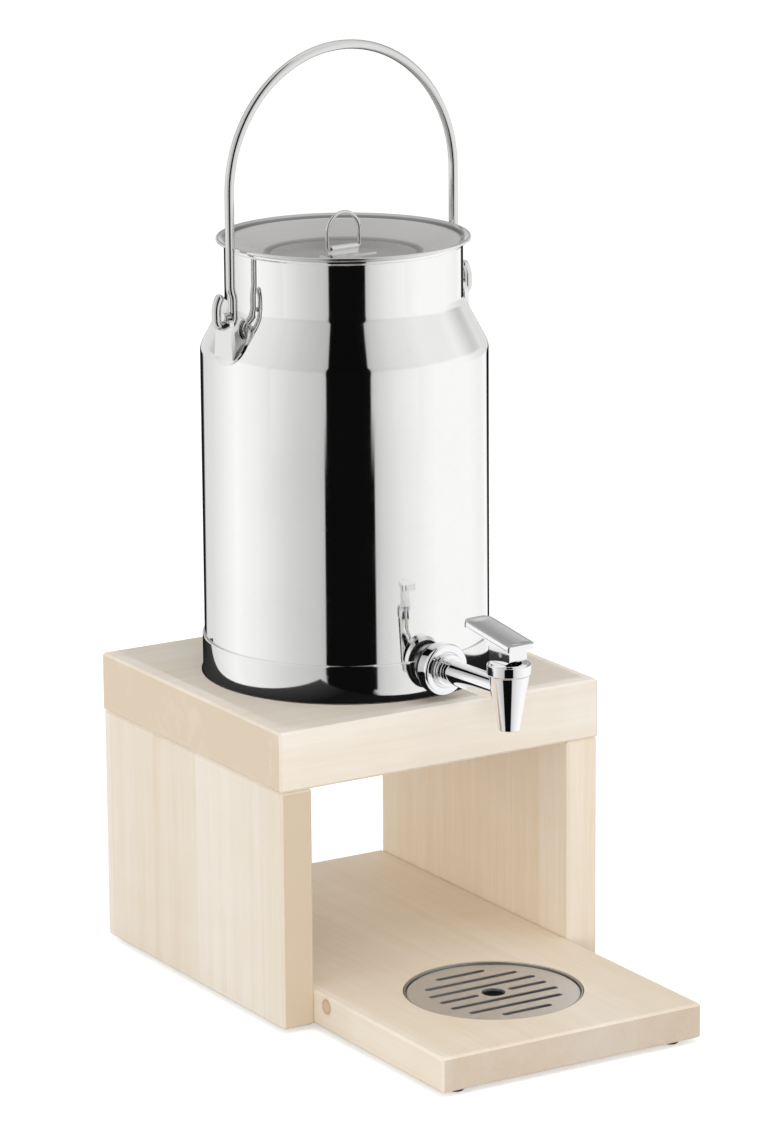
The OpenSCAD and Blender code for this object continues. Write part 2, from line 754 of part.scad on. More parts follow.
// The screwed plug in the spout's top that guides the spindle.
module bonnet() {
    color(chrome) at_spout() difference() {
        union() {
            translate([0, 0, collar_z - bonnet_in]) cylinder(r = bonnet_r - touch, h = bonnet_in);
            translate([0, 0, collar_z]) rotate_extrude() polygon([
                [0, 0], [bonnet_cap_r, 0], [bonnet_cap_r, bonnet_cap_t - 0.3],
                [bonnet_cap_r - 0.3, bonnet_cap_t], [0, bonnet_cap_t]
            ]);
        }
        translate([0, 0, collar_z - bonnet_in - over])
            cylinder(d = spindle_d + 2 * touch, h = bonnet_in + bonnet_cap_t + 2 * over);
    }
}

// The valve's rod, with a flange that the spring pushes on and a tongue for the lever's pin.
module spindle() {
    rod_low = seat_z + touch + 1.2;
    flats_z = pin_z - pin_up - lift;
    color(steel) at_spout() difference() {
        union() {
            translate([0, 0, rod_low]) cylinder(d = spindle_d, h = flats_z - rod_low);
            translate([0, 0, seat_z + touch + seal_t]) cylinder(r = seal_r, h = spring_low_z - seat_z - touch - seal_t);
            intersection() {
                translate([-tongue_t / 2, -spindle_d, rod_low]) cube([tongue_t, 2 * spindle_d, pin_z - rod_low]);
                translate([0, 0, rod_low]) cylinder(d = spindle_d, h = pin_z - rod_low);
            }
            translate([-tongue_t / 2, 0, pin_z]) rotate([0, 90, 0]) cylinder(r = tongue_r, h = tongue_t);
        }
        translate([-tongue_t, 0, pin_z]) rotate([0, 90, 0]) cylinder(d = pin_d, h = 2 * tongue_t);
    }
}

module valve_seal() {
    color(rubber) at_spout() difference() {
        translate([0, 0, seat_z + touch]) rotate_extrude() polygon([
            [0, 0], [seal_r - 0.6, 0], [seal_r, 0.6], [seal_r, seal_t], [0, seal_t]
        ]);
        translate([0, 0, seat_z + touch + 1.2]) cylinder(d = spindle_d, h = seal_t);
    }
}

// The spring that closes the valve: one round wire wound on a rising circle.
module valve_spring() {
    sides = 6;
    per_turn = 10;
    steps = spring_turns * per_turn;
    low = spring_low_z + spring_wire / 2 + touch;
    high = spring_high_z - spring_wire / 2 - touch;
    points = [for (i = [0:steps], j = [0:sides - 1])
        let (a = 360 * i / per_turn, b = 360 * j / sides, r = spring_r + spring_wire / 2 * cos(b))
        [r * cos(a), r * sin(a), low + (high - low) * i / steps + spring_wire / 2 * sin(b)]];
    walls = [for (i = [0:steps - 1], j = [0:sides - 1], half = [0, 1])
        let (a = i * sides + j, b = i * sides + (j + 1) % sides)
        half == 0 ? [a, b, b + sides] : [a, b + sides, a + sides]];
    caps = [for (j = [1:sides - 2], last = [0, 1])
        last == 0 ? [0, j + 1, j] : [steps * sides, steps * sides + j, steps * sides + j + 1]];
    color(steel) at_spout() polyhedron(points, concat(walls, caps));
}

module lever_pin() {
    color(steel) at_spout() translate([-block_w / 2, 0, pin_z]) rotate([0, 90, 0]) cylinder(d = pin_d, h = block_w);
}

// The lever: a dished plate on a block whose underside is flat when the tap is closed and
// curves up in front as a cam, so that lifting the lever raises the pin at a steady rate.
module lever() {
    cam = [for (k = [0:cam_steps]) let (
            a = lever_open * k / cam_steps,
            p = pin_up + cam_rate * a * PI / 180
        ) [-p * sin(a) - cam_rate * cos(a), -p * cos(a) + cam_rate * sin(a)]];
    under = plate_front_z - lever_t + 1;
    rise = tan(lever_slope);
    dish_curve = 38;
    side = [
        [block_back, -pin_up + 0.8], [block_back - 0.8, -pin_up],
        each cam,
        [block_front, cam[cam_steps][1] + 1],
        [block_front, under + (block_front - plate_front) * rise],
        [block_back, under + (block_back - plate_front) * rise]
    ];
    color(chrome) at_spout() translate([0, 0, pin_z]) difference() {
        union() {
            translate([-block_w / 2, 0, 0]) rotate([90, 0, 90]) linear_extrude(block_w) polygon(side);
            translate([0, plate_front, plate_front_z]) rotate([lever_slope, 0, 0]) difference() {
                translate([0, 0, -lever_t]) linear_extrude(lever_t) rounded_bar(lever_w, lever_l, 1.6, 5);
                translate([0, 2.2, dish_curve - 0.8]) rotate([-90, 0, 0]) cylinder(r = dish_curve, h = lever_l - 4.4);
            }
        }
        translate([-tongue_t / 2 - tongue_gap, 0, 0]) rotate([90, 0, 90])
            linear_extrude(tongue_t + 2 * tongue_gap) {
                circle(tongue_r + 0.4, $fn = 48);
                for (a = [0:lever_open / 4:lever_open]) rotate(-a)
                    translate([-tongue_r, -pin_up - 8]) square([2 * tongue_r, pin_up + 8]);
            }
        translate([-block_w, 0, 0]) rotate([0, 90, 0]) cylinder(d = pin_d + 2 * touch, h = 2 * block_w, $fn = 48);
    }
}

top_board();
left_panel();
right_panel();
base_shelf();
top_dowels();
shelf_dowels();
feet();
drip_tray();
drip_grille();
can_body();
foot_hoop();
tap_socket();
left_ear();
right_ear();
handle();
lid_dish();
lid_plug();
lid_seal();
lid_clip();
lid_ring();
outer_washer();
coupling_nut();
tap_body();
inner_washer();
lock_nut();
bonnet();
spindle();
valve_seal();
valve_spring();
lever_pin();
lever();
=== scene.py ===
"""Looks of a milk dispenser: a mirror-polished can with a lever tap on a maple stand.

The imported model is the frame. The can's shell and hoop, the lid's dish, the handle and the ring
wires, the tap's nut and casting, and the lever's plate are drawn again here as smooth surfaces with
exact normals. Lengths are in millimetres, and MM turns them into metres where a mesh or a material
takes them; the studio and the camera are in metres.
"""
import math

import bpy
import numpy as np
from mathutils import Matrix, Vector


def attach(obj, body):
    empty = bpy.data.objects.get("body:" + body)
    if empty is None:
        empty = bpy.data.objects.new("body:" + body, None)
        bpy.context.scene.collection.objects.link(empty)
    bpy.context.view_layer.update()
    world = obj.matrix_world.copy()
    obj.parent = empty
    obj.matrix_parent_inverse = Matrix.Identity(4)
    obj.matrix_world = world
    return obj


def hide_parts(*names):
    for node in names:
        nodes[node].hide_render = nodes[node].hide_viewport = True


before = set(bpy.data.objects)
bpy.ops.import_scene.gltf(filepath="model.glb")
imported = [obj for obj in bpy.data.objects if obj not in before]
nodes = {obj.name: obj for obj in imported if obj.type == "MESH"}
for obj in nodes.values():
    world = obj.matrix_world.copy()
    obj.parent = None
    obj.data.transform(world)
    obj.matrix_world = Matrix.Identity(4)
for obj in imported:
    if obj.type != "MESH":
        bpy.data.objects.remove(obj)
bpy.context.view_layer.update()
MM = 0.001

# ---------------------------------------------------------------- sizes shared with the model
CAN_Y = 70.0                    # the can's axis, behind the middle of the stand
CAN_TURN = math.radians(4.0)    # the can stands turned by this much
CAN_FOOT = 175.0                # height of the can's foot
CAN_R = 85.6                    # outside of the wall
NECK_R = 70.6                   # outside of the neck
SHEET = 1.2                     # thickness of the can's sheet
CORNER_Z = 380.8                # top of the wall, where the shoulder starts
NECK_Z = 409.0                  # bottom of the neck
RIM_Z = 444.0                   # top of the can's rolled lip
LIP_D = 2.6                     # thickness of that lip
HOOP_R = 86.8                   # outside of the hoop round the foot
TRAY_Y = -92.5                  # middle of the drip tray
REACH = 162.5                   # from the can's axis to the spout's axis
TAP_Z = 202.4                   # height of the tap's shank
PIN_Z = 225.5                   # height of the lever's pin
PIVOT_Z = 402.0                 # height of the handle's pivots
PLATE_Y = -12.3                 # front edge of the lever's plate, from the spout's axis
WIRE_R = 2.75                   # the handle's wire

# ---------------------------------------------------------------- the photograph's camera
VIEW = math.radians(-31.314)    # its direction round the object
PITCH, ROLL = math.radians(14.203), math.radians(-0.441)
FOCUS = 5054.0 / 1139.0         # focal length as a share of the picture's height
CAM = Vector((-1.50987, -2.45066, 0.98606))
TOWARD = math.atan2(CAM.y - CAN_Y * MM, CAM.x)  # direction from the can's axis to the camera


# ---------------------------------------------------------------- numpy surfaces
def unit(v):
    """Each row of v divided by its length."""
    return v / np.maximum(np.linalg.norm(v, axis=-1, keepdims=True), 1e-12)


def rounded(points, radii, closed=True, steps=7):
    """A profile with each corner replaced by an arc: a corner's normal turns evenly from the
    side before it to the side after it, and the arc's point is centre + radius * normal.
    Returns the points and their outward normals, for a profile that runs anticlockwise."""
    p = np.asarray(points, float)
    radius = np.broadcast_to(np.asarray(radii, float), (len(p),))
    before = unit(p - np.roll(p, 1, 0))
    after = unit(np.roll(p, -1, 0) - p)
    if not closed:
        before[0], after[-1] = after[0], before[-1]
    cross = before[:, 0] * after[:, 1] - before[:, 1] * after[:, 0]
    turn = np.arctan2(cross, (before * after).sum(1))
    sides = np.linalg.norm(p - np.roll(p, 1, 0), axis=1)
    room = 0.49 * np.minimum(sides, np.roll(sides, -1))
    half = np.tan(np.abs(turn) / 2)
    reach = np.minimum(radius * half, room)
    true_r = np.where(half > 1e-9, reach / np.maximum(half, 1e-9), 0)
    hand = np.where(turn >= 0, 1.0, -1.0)
    n_in = np.stack([before[:, 1], -before[:, 0]], 1)
    centre = p - before * reach[:, None] - n_in * (true_r * hand)[:, None]
    a = np.linspace(0, 1, steps)[None, :] * turn[:, None]
    normal = np.stack([n_in[:, :1] * np.cos(a) - n_in[:, 1:] * np.sin(a),
                       n_in[:, :1] * np.sin(a) + n_in[:, 1:] * np.cos(a)], 2)
    place = centre[:, None, :] + normal * (true_r * hand)[:, None, None]
    place, normal = place.reshape(-1, 2), normal.reshape(-1, 2)
    if not closed:
        place, normal = place[steps - 1:-(steps - 1)], normal[steps - 1:-(steps - 1)]
    return place, normal


def skin(name, verts, normals, faces, body, material, replaced=()):
    """A smooth mesh from whole arrays. Faces with two equal corners lose one of them, vertices
    that no face uses are dropped, and each vertex keeps the normal that its formula gives."""
    faces = np.asarray(faces).reshape(-1, 4)
    used, inverse = np.unique(faces, return_inverse=True)
    faces = inverse.reshape(-1, 4)
    verts, normals = verts.reshape(-1, 3)[used] * MM, unit(normals.reshape(-1, 3)[used])
    same = [faces[:, k] == faces[:, (k + 1) % 4] for k in range(4)]
    lists = faces[~(same[0] | same[1] | same[2] | same[3])].tolist()
    for k in range(4):
        lone = same[k] & ~(same[(k + 1) % 4] | same[(k + 2) % 4] | same[(k + 3) % 4])
        lists += faces[lone][:, [j for j in range(4) if j != k]].tolist()
    mesh = bpy.data.meshes.new(name)
    mesh.from_pydata(verts.tolist(), [], lists)
    mesh.shade_smooth()
    mesh.normals_split_custom_set_from_vertices(normals.tolist())
    mesh.materials.append(material)
    piece = bpy.data.objects.new(name, mesh)
    bpy.context.scene.collection.objects.link(piece)
    if body:
        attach(piece, body)
    if replaced:
        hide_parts(*replaced)
    return piece


def can_axes(points):
    """Points in the can's own axes, turned with the can and moved to its place."""
    c, s = math.cos(CAN_TURN), math.sin(CAN_TURN)
    x, y, z = points[..., 0], points[..., 1], points[..., 2]
    return np.stack([c * x - s * y, s * x + c * y + CAN_Y, z], -1)


def can_turned(vectors):
    """Directions in the can's own axes, turned with the can."""
    c, s = math.cos(CAN_TURN), math.sin(CAN_TURN)
    x, y, z = vectors[..., 0], vectors[..., 1], vectors[..., 2]
    return np.stack([c * x - s * y, s * x + c * y, z], -1)


def lying(v, height):
    """Turned parts with their axis along the tap: the profile's height runs along -Y."""
    return np.stack([v[..., 0], -v[..., 2], v[..., 1] + height], -1)


def spin(profile, normals, segments=192, closed=True):
    """A profile of radius and height turned about Z: u runs round the axis and v along the
    profile, point = (r(v) cos u, r(v) sin u, z(v)). A row on the axis becomes one pole."""
    keep = np.r_[True, np.linalg.norm(np.diff(profile, axis=0), axis=1) > 1e-6]
    profile, normals = profile[keep], normals[keep]
    if closed and np.linalg.norm(profile[0] - profile[-1]) < 1e-6:
        profile, normals = profile[:-1], normals[:-1]
    u = np.linspace(0, 2 * np.pi, segments, endpoint=False)
    ring = np.stack([np.cos(u), np.sin(u)], 1)
    level = np.ones((1, segments, 1))
    v = np.concatenate([profile[:, None, :1] * ring, profile[:, None, 1:] * level], 2)
    n = np.concatenate([normals[:, None, :1] * ring, normals[:, None, 1:] * level], 2)
    index = np.arange(len(profile) * segments).reshape(-1, segments)
    on_axis = profile[:, 0] < 1e-6
    index[on_axis] = index[on_axis, :1]
    first = index if closed else index[:-1]
    second = np.roll(index, -1, 0) if closed else index[1:]
    faces = np.stack([first, np.roll(first, -1, 1), np.roll(second, -1, 1), second], 2)
    return v, n, faces.reshape(-1, 4)


def turned(name, points, radii, body, material, replaced=(), segments=192, closed=True,
           steps=7, on_tap=False):
    """A part turned on a lathe: the rounded profile spun about the can's or the tap's axis."""
    v, n, faces = spin(*rounded(points, radii, closed, steps), segments, closed)
    if on_tap:
        v, n = lying(v, TAP_Z), lying(n, 0)
    return skin(name, can_axes(v), can_turned(n), faces, body, material, replaced)


def round_faces(index):
    """Quads between the rows of a grid of vertex numbers whose rows close on themselves."""
    low, high = index[:-1], index[1:]
    return np.stack([low, high, np.roll(high, -1, 1), np.roll(low, -1, 1)], 2).reshape(-1, 4)


def arcs(steps, start=(0.0, 0.0), heading=90.0, spacing=3.0):
    """The centre line of a bent wire in a plane: each step is a straight length, then a bend
    of a radius and a turn in degrees, positive to the left. Bends are sampled every few
    degrees, straights at both ends and between. Returns points and directions."""
    where, way, points, ways = np.array(start, float), math.radians(heading), [], []
    for straight, radius, turn in steps:
        count = max(2, int(straight / 6) + 2)
        ahead = np.array([math.cos(way), math.sin(way)])
        points.append(where + np.linspace(0, straight, count)[:, None] * ahead)
        ways.append(np.repeat(way, count))
        where = where + straight * ahead
        if turn:
            hand = 1.0 if turn > 0 else -1.0
            left = np.array([-ahead[1], ahead[0]]) * hand
            centre = where + radius * left
            sweep = np.linspace(0, math.radians(turn), max(6, int(abs(turn) / spacing) + 2))[1:]
            a = way - hand * math.pi / 2 + sweep
            points.append(centre + radius * np.stack([np.cos(a), np.sin(a)], 1))
            ways.append(way + sweep)
            where, way = points[-1][-1], way + math.radians(turn)
    return np.concatenate(points), np.concatenate(ways)


def wire(points, ways, radius, sides=28, cap=8):
    """A round wire along a line in the XZ plane: each point carries a circle square to the
    line, and at each end the circle shrinks as the cosine of an angle while it moves out by
    its sine, which makes a half ball."""
    keep = np.r_[True, np.linalg.norm(np.diff(points, axis=0), axis=1) > 1e-4]
    points, ways = points[keep], ways[keep]
    a = np.linspace(0, np.pi / 2, cap + 1)[1:]
    ahead = np.stack([np.cos(ways), np.sin(ways)], 1)
    head = points[:1] - ahead[:1] * (radius * np.sin(a[::-1]))[:, None]
    tail = points[-1:] + ahead[-1:] * (radius * np.sin(a))[:, None]
    line = np.concatenate([head, points, tail])
    size = np.concatenate([np.cos(a[::-1]), np.ones(len(points)), np.cos(a)])
    lean = np.concatenate([-np.sin(a[::-1]), np.zeros(len(points)), np.sin(a)])
    way = np.concatenate([np.repeat(ways[0], cap), ways, np.repeat(ways[-1], cap)])
    forward = np.stack([np.cos(way), 0 * way, np.sin(way)], 1)[:, None]
    out = np.stack([-np.sin(way), 0 * way, np.cos(way)], 1)[:, None]
    u = np.linspace(0, 2 * np.pi, sides, endpoint=False)[None, :, None]
    across = out * np.cos(u) + np.array([0.0, 1.0, 0.0]) * np.sin(u)
    centre = np.stack([line[:, 0], 0 * line[:, 0], line[:, 1]], 1)[:, None]
    v = centre + across * radius * size[:, None, None]
    n = across * size[:, None, None] + forward * lean[:, None, None]
    index = np.arange(len(line) * sides).reshape(-1, sides)
    index[[0, -1]] = index[[0, -1], :1]
    return v, n, round_faces(index)


# ---------------------------------------------------------------- shader groups
def new_group(name, inputs, outputs):
    """An empty shader group with its sockets, its input and its output."""
    group = bpy.data.node_groups.new(name, "ShaderNodeTree")
    for label, kind, value in inputs:
        socket = group.interface.new_socket(label, in_out="INPUT", socket_type=kind)
        if value is not None:
            socket.default_value = value
    for label, kind in outputs:
        group.interface.new_socket(label, in_out="OUTPUT", socket_type=kind)
    return group, group.nodes.new("NodeGroupInput"), group.nodes.new("NodeGroupOutput")


def add(tree, kind, values=None, **settings):
    """A node with its settings and the values of its unlinked sockets."""
    node = tree.nodes.new(kind)
    for key, value in settings.items():
        setattr(node, key, value)
    for key, value in (values or {}).items():
        node.inputs[key].default_value = value
    return node


def ramp(node, stops):
    """Sets a colour ramp's stops: place and grey or colour."""
    elements = node.color_ramp.elements
    while len(elements) > len(stops):
        elements.remove(elements[-1])
    while len(elements) < len(stops):
        elements.new(0.5)
    for element, (place, colour) in zip(elements, stops):
        element.position = place
        element.color = (*colour, 1) if isinstance(colour, tuple) else (colour, colour, colour, 1)


def brushed_group():
    """Fine parallel scratches: noise stretched along one axis of the given coordinates drives
    a small spread of roughness and a height for the bump."""
    group, start, end = new_group(
        "fine_brushing",
        [("Place", "NodeSocketVector", None), ("Roughness", "NodeSocketFloat", 0.3),
         ("Spread", "NodeSocketFloat", 0.1)],
        [("Roughness", "NodeSocketFloat"), ("Height", "NodeSocketFloat")])
    link = group.links.new
    noise = add(group, "ShaderNodeTexNoise", {"Scale": 1.0, "Detail": 3.0, "Roughness": 0.6})
    link(start.outputs["Place"], noise.inputs["Vector"])
    spread = add(group, "ShaderNodeMath", operation="MULTIPLY")
    centre = add(group, "ShaderNodeMath", {1: 0.5}, operation="SUBTRACT")
    link(noise.outputs["Fac"], centre.inputs[0])
    link(centre.outputs[0], spread.inputs[0])
    link(start.outputs["Spread"], spread.inputs[1])
    total = add(group, "ShaderNodeMath", operation="ADD", use_clamp=True)
    link(spread.outputs[0], total.inputs[0])
    link(start.outputs["Roughness"], total.inputs[1])
    link(total.outputs[0], end.inputs["Roughness"])
    link(noise.outputs["Fac"], end.inputs["Height"])
    return group


def handling_group():
    """Faint marks of handling on polished metal: broad soft clouds and sparse fine ones lift
    the roughness a little where cloths and fingers have been."""
    group, start, end = new_group(
        "faint_handling",
        [("Place", "NodeSocketVector", None), ("Roughness", "NodeSocketFloat", 0.03),
         ("Marks", "NodeSocketFloat", 0.03)],
        [("Roughness", "NodeSocketFloat"), ("Mask", "NodeSocketFloat")])
    link = group.links.new
    clouds = add(group, "ShaderNodeTexNoise", {"Scale": 14.0, "Detail": 4.0, "Roughness": 0.55})
    fine = add(group, "ShaderNodeTexNoise", {"Scale": 160.0, "Detail": 2.0, "Roughness": 0.6})
    link(start.outputs["Place"], clouds.inputs["Vector"])
    link(start.outputs["Place"], fine.inputs["Vector"])
    soft = add(group, "ShaderNodeMapRange", {1: 0.45, 2: 0.8})
    sparse = add(group, "ShaderNodeMapRange", {1: 0.55, 2: 0.8})
    link(clouds.outputs["Fac"], soft.inputs[0])
    link(fine.outputs["Fac"], sparse.inputs[0])
    both = add(group, "ShaderNodeMath", {1: 0.4}, operation="MULTIPLY_ADD", use_clamp=True)
    link(sparse.outputs[0], both.inputs[0])
    link(soft.outputs[0], both.inputs[2])
    total = add(group, "ShaderNodeMath", operation="MULTIPLY_ADD", use_clamp=True)
    link(both.outputs[0], total.inputs[0])
    link(start.outputs["Marks"], total.inputs[1])
    link(start.outputs["Roughness"], total.inputs[2])
    link(total.outputs[0], end.inputs["Roughness"])
    link(both.outputs[0], end.inputs["Mask"])
    return group


BRUSHING = brushed_group()
HANDLING = handling_group()
SCRATCH_TONE = 0.94     # how much of the metal's colour the scratches keep


def material(name):
    """An empty material: its tree, its shader and its Object coordinates."""
    mat = bpy.data.materials.new(name)
    mat.use_nodes = True
    tree = mat.node_tree
    shader = next(n for n in tree.nodes if n.type == "BSDF_PRINCIPLED")
    place = tree.nodes.new("ShaderNodeTexCoord").outputs["Object"]
    return mat, tree, shader, place


def polished(name, colour, roughness, marks):
    """Polished metal: a plain mirror whose roughness rises a little where it is handled."""
    mat, tree, shader, place = material(name)
    shader.inputs["Metallic"].default_value = 1.0
    group = add(tree, "ShaderNodeGroup", node_tree=HANDLING)
    group.inputs["Roughness"].default_value = roughness
    group.inputs["Marks"].default_value = marks
    tree.links.new(place, group.inputs["Place"])
    tree.links.new(group.outputs["Roughness"], shader.inputs["Roughness"])
    tint = add(tree, "ShaderNodeMix", data_type="RGBA")
    tint.inputs["A"].default_value = (*colour, 1)
    tint.inputs["B"].default_value = (*(0.96 * c for c in colour), 1)
    tree.links.new(group.outputs["Mask"], tint.inputs["Factor"])
    tree.links.new(tint.outputs["Result"], shader.inputs["Base Color"])
    return mat


def satin(name, colour, roughness, spread, stretch, centre=None, bump=0.05):
    """Satin metal with fine scratches that are a little darker. With a centre they run in
    circles round that upright axis, because the pattern reads the distance from the axis; else
    they run along one axis."""
    mat, tree, shader, place = material(name)
    link = tree.links.new
    shader.inputs["Metallic"].default_value = 1.0
    if centre is not None:
        shift = add(tree, "ShaderNodeMapping", {"Location": (-centre[0] * MM, -centre[1] * MM, 0)})
        link(place, shift.inputs["Vector"])
        flat = add(tree, "ShaderNodeVectorMath", {1: (1, 1, 0)}, operation="MULTIPLY")
        link(shift.outputs[0], flat.inputs[0])
        far = add(tree, "ShaderNodeVectorMath", operation="LENGTH")
        link(flat.outputs[0], far.inputs[0])
        parts = add(tree, "ShaderNodeSeparateXYZ")
        link(place, parts.inputs[0])
        joined = add(tree, "ShaderNodeCombineXYZ")
        link(far.outputs["Value"], joined.inputs["X"])
        link(parts.outputs["Z"], joined.inputs["Y"])
        source = joined.outputs[0]
    else:
        source = place
    scale = add(tree, "ShaderNodeMapping", {"Scale": stretch})
    link(source, scale.inputs["Vector"])
    group = add(tree, "ShaderNodeGroup", node_tree=BRUSHING)
    group.inputs["Roughness"].default_value = roughness
    group.inputs["Spread"].default_value = spread
    link(scale.outputs[0], group.inputs["Place"])
    link(group.outputs["Roughness"], shader.inputs["Roughness"])
    lines = add(tree, "ShaderNodeMapRange", {1: 0.3, 2: 0.7, 3: SCRATCH_TONE, 4: 1.0})
    link(group.outputs["Height"], lines.inputs[0])
    shade = add(tree, "ShaderNodeMix", data_type="RGBA", blend_type="MULTIPLY")
    shade.inputs["Factor"].default_value = 1.0
    shade.inputs["A"].default_value = (*colour, 1)
    link(lines.outputs[0], shade.inputs["B"])
    link(shade.outputs["Result"], shader.inputs["Base Color"])
    lift = add(tree, "ShaderNodeBump", {"Strength": bump, "Distance": 0.0002})
    link(group.outputs["Height"], lift.inputs["Height"])
    link(lift.outputs[0], shader.inputs["Normal"])
    return mat


def spun_lid(name):
    """The lid's spun steel: circles of fine scratches round the axis, and a floor, wall and rim
    that have their own roughness by the distance from the axis, and tones by that distance that
    are painted light and shade: dark bands at the bend round the floor and under the rim are
    painted shade, and the brighter wall is painted light. Two broad fans of painted highlight,
    as turned metal shows, multiply the tones by 0.84 - 0.16 cos(2 (angle - TOWARD))."""
    mat = satin(name, (1.0, 1.0, 1.0), 0.20, 0.10, (1500.0, 1500.0, 60.0), (0, CAN_Y), bump=0.03)
    tree = mat.node_tree
    link = tree.links.new
    shader = next(n for n in tree.nodes if n.type == "BSDF_PRINCIPLED")
    far = next(n for n in tree.nodes if n.type == "VECT_MATH" and n.operation == "LENGTH")
    flat = next(n for n in tree.nodes if n.type == "VECT_MATH" and n.operation == "MULTIPLY")
    apart = add(tree, "ShaderNodeSeparateXYZ")
    link(flat.outputs[0], apart.inputs[0])
    angle = add(tree, "ShaderNodeMath", operation="ARCTAN2")
    link(apart.outputs["Y"], angle.inputs[0])
    link(apart.outputs["X"], angle.inputs[1])
    # painted highlight: two broad fans of light across the lid, set round the way to the camera
    double = add(tree, "ShaderNodeMath", {1: 2.0, 2: -2.0 * TOWARD}, operation="MULTIPLY_ADD")
    link(angle.outputs[0], double.inputs[0])
    wave = add(tree, "ShaderNodeMath", operation="COSINE")
    link(double.outputs[0], wave.inputs[0])
    painted_fan_light = add(tree, "ShaderNodeMath", {1: -0.16, 2: 0.84}, operation="MULTIPLY_ADD")
    link(wave.outputs[0], painted_fan_light.inputs[0])
    # the ramps below run from the axis to a radius of 80 mm
    radius = add(tree, "ShaderNodeMapRange", {1: 0.0, 2: 80.0 * MM})
    link(far.outputs["Value"], radius.inputs[0])
    tone = add(tree, "ShaderNodeValToRGB")
    link(radius.outputs[0], tone.inputs["Fac"])
    # the dark stops at the bends are painted shade; the bright stops on the sloping wall are
    # painted light
    ramp(tone, [(0.0, (0.80, 0.785, 0.77)), (0.535, (0.83, 0.815, 0.80)),     # floor
                (0.55, (0.52, 0.51, 0.50)), (0.58, (0.62, 0.61, 0.60)),       # bend round the floor
                (0.60, (0.93, 0.915, 0.90)), (0.84, (0.97, 0.955, 0.94)),     # sloping wall
                (0.862, (1.0, 0.99, 0.98)), (0.872, (0.25, 0.25, 0.25)),      # bend under the rim
                (0.892, (0.40, 0.40, 0.40)), (0.90, (0.93, 0.93, 0.92))])     # rim
    rough = add(tree, "ShaderNodeValToRGB")
    link(radius.outputs[0], rough.inputs["Fac"])
    ramp(rough, [(0.0, 0.0), (0.56, 0.0), (0.60, 0.22), (0.85, 0.22), (0.87, 0.0), (1.0, 0.0)])
    scratch_rough = shader.inputs["Roughness"].links[0].from_socket
    scratch_tone = shader.inputs["Base Color"].links[0].from_socket
    more = add(tree, "ShaderNodeMath", operation="ADD", use_clamp=True)
    link(scratch_rough, more.inputs[0])
    link(rough.outputs["Color"], more.inputs[1])
    link(more.outputs[0], shader.inputs["Roughness"])
    tones_with_painted_fans = add(tree, "ShaderNodeMix", data_type="RGBA", blend_type="MULTIPLY")
    tones_with_painted_fans.inputs["Factor"].default_value = 1.0
    link(tone.outputs["Color"], tones_with_painted_fans.inputs["A"])
    link(painted_fan_light.outputs[0], tones_with_painted_fans.inputs["B"])
    final = add(tree, "ShaderNodeMix", data_type="RGBA", blend_type="MULTIPLY")
    final.inputs["Factor"].default_value = 1.0
    link(tones_with_painted_fans.outputs["Result"], final.inputs["A"])
    link(scratch_tone, final.inputs["B"])
    link(final.outputs["Result"], shader.inputs["Base Color"])
    return mat


def rubber(name, colour, roughness, see=0.0):
    """Moulded rubber or silicone: a fine grain in colour and bump, and as much light scattered
    inside it as see says."""
    mat, tree, shader, place = material(name)
    link = tree.links.new
    grain = add(tree, "ShaderNodeTexNoise", {"Scale": 900.0, "Detail": 3.0})
    link(place, grain.inputs["Vector"])
    tint = add(tree, "ShaderNodeMix", data_type="RGBA")
    tint.inputs["A"].default_value = (*(0.8 * c for c in colour), 1)
    tint.inputs["B"].default_value = (*(min(1.2 * c, 1) for c in colour), 1)
    link(grain.outputs["Fac"], tint.inputs["Factor"])
    link(tint.outputs["Result"], shader.inputs["Base Color"])
    shader.inputs["Roughness"].default_value = roughness
    shader.inputs["Subsurface Weight"].default_value = see
    shader.inputs["Subsurface Radius"].default_value = (0.002, 0.002, 0.002)
    lift = add(tree, "ShaderNodeBump", {"Strength": 0.2, "Distance": 0.0001})
    link(grain.outputs["Fac"], lift.inputs["Height"])
    link(lift.outputs[0], shader.inputs["Normal"])
    return mat


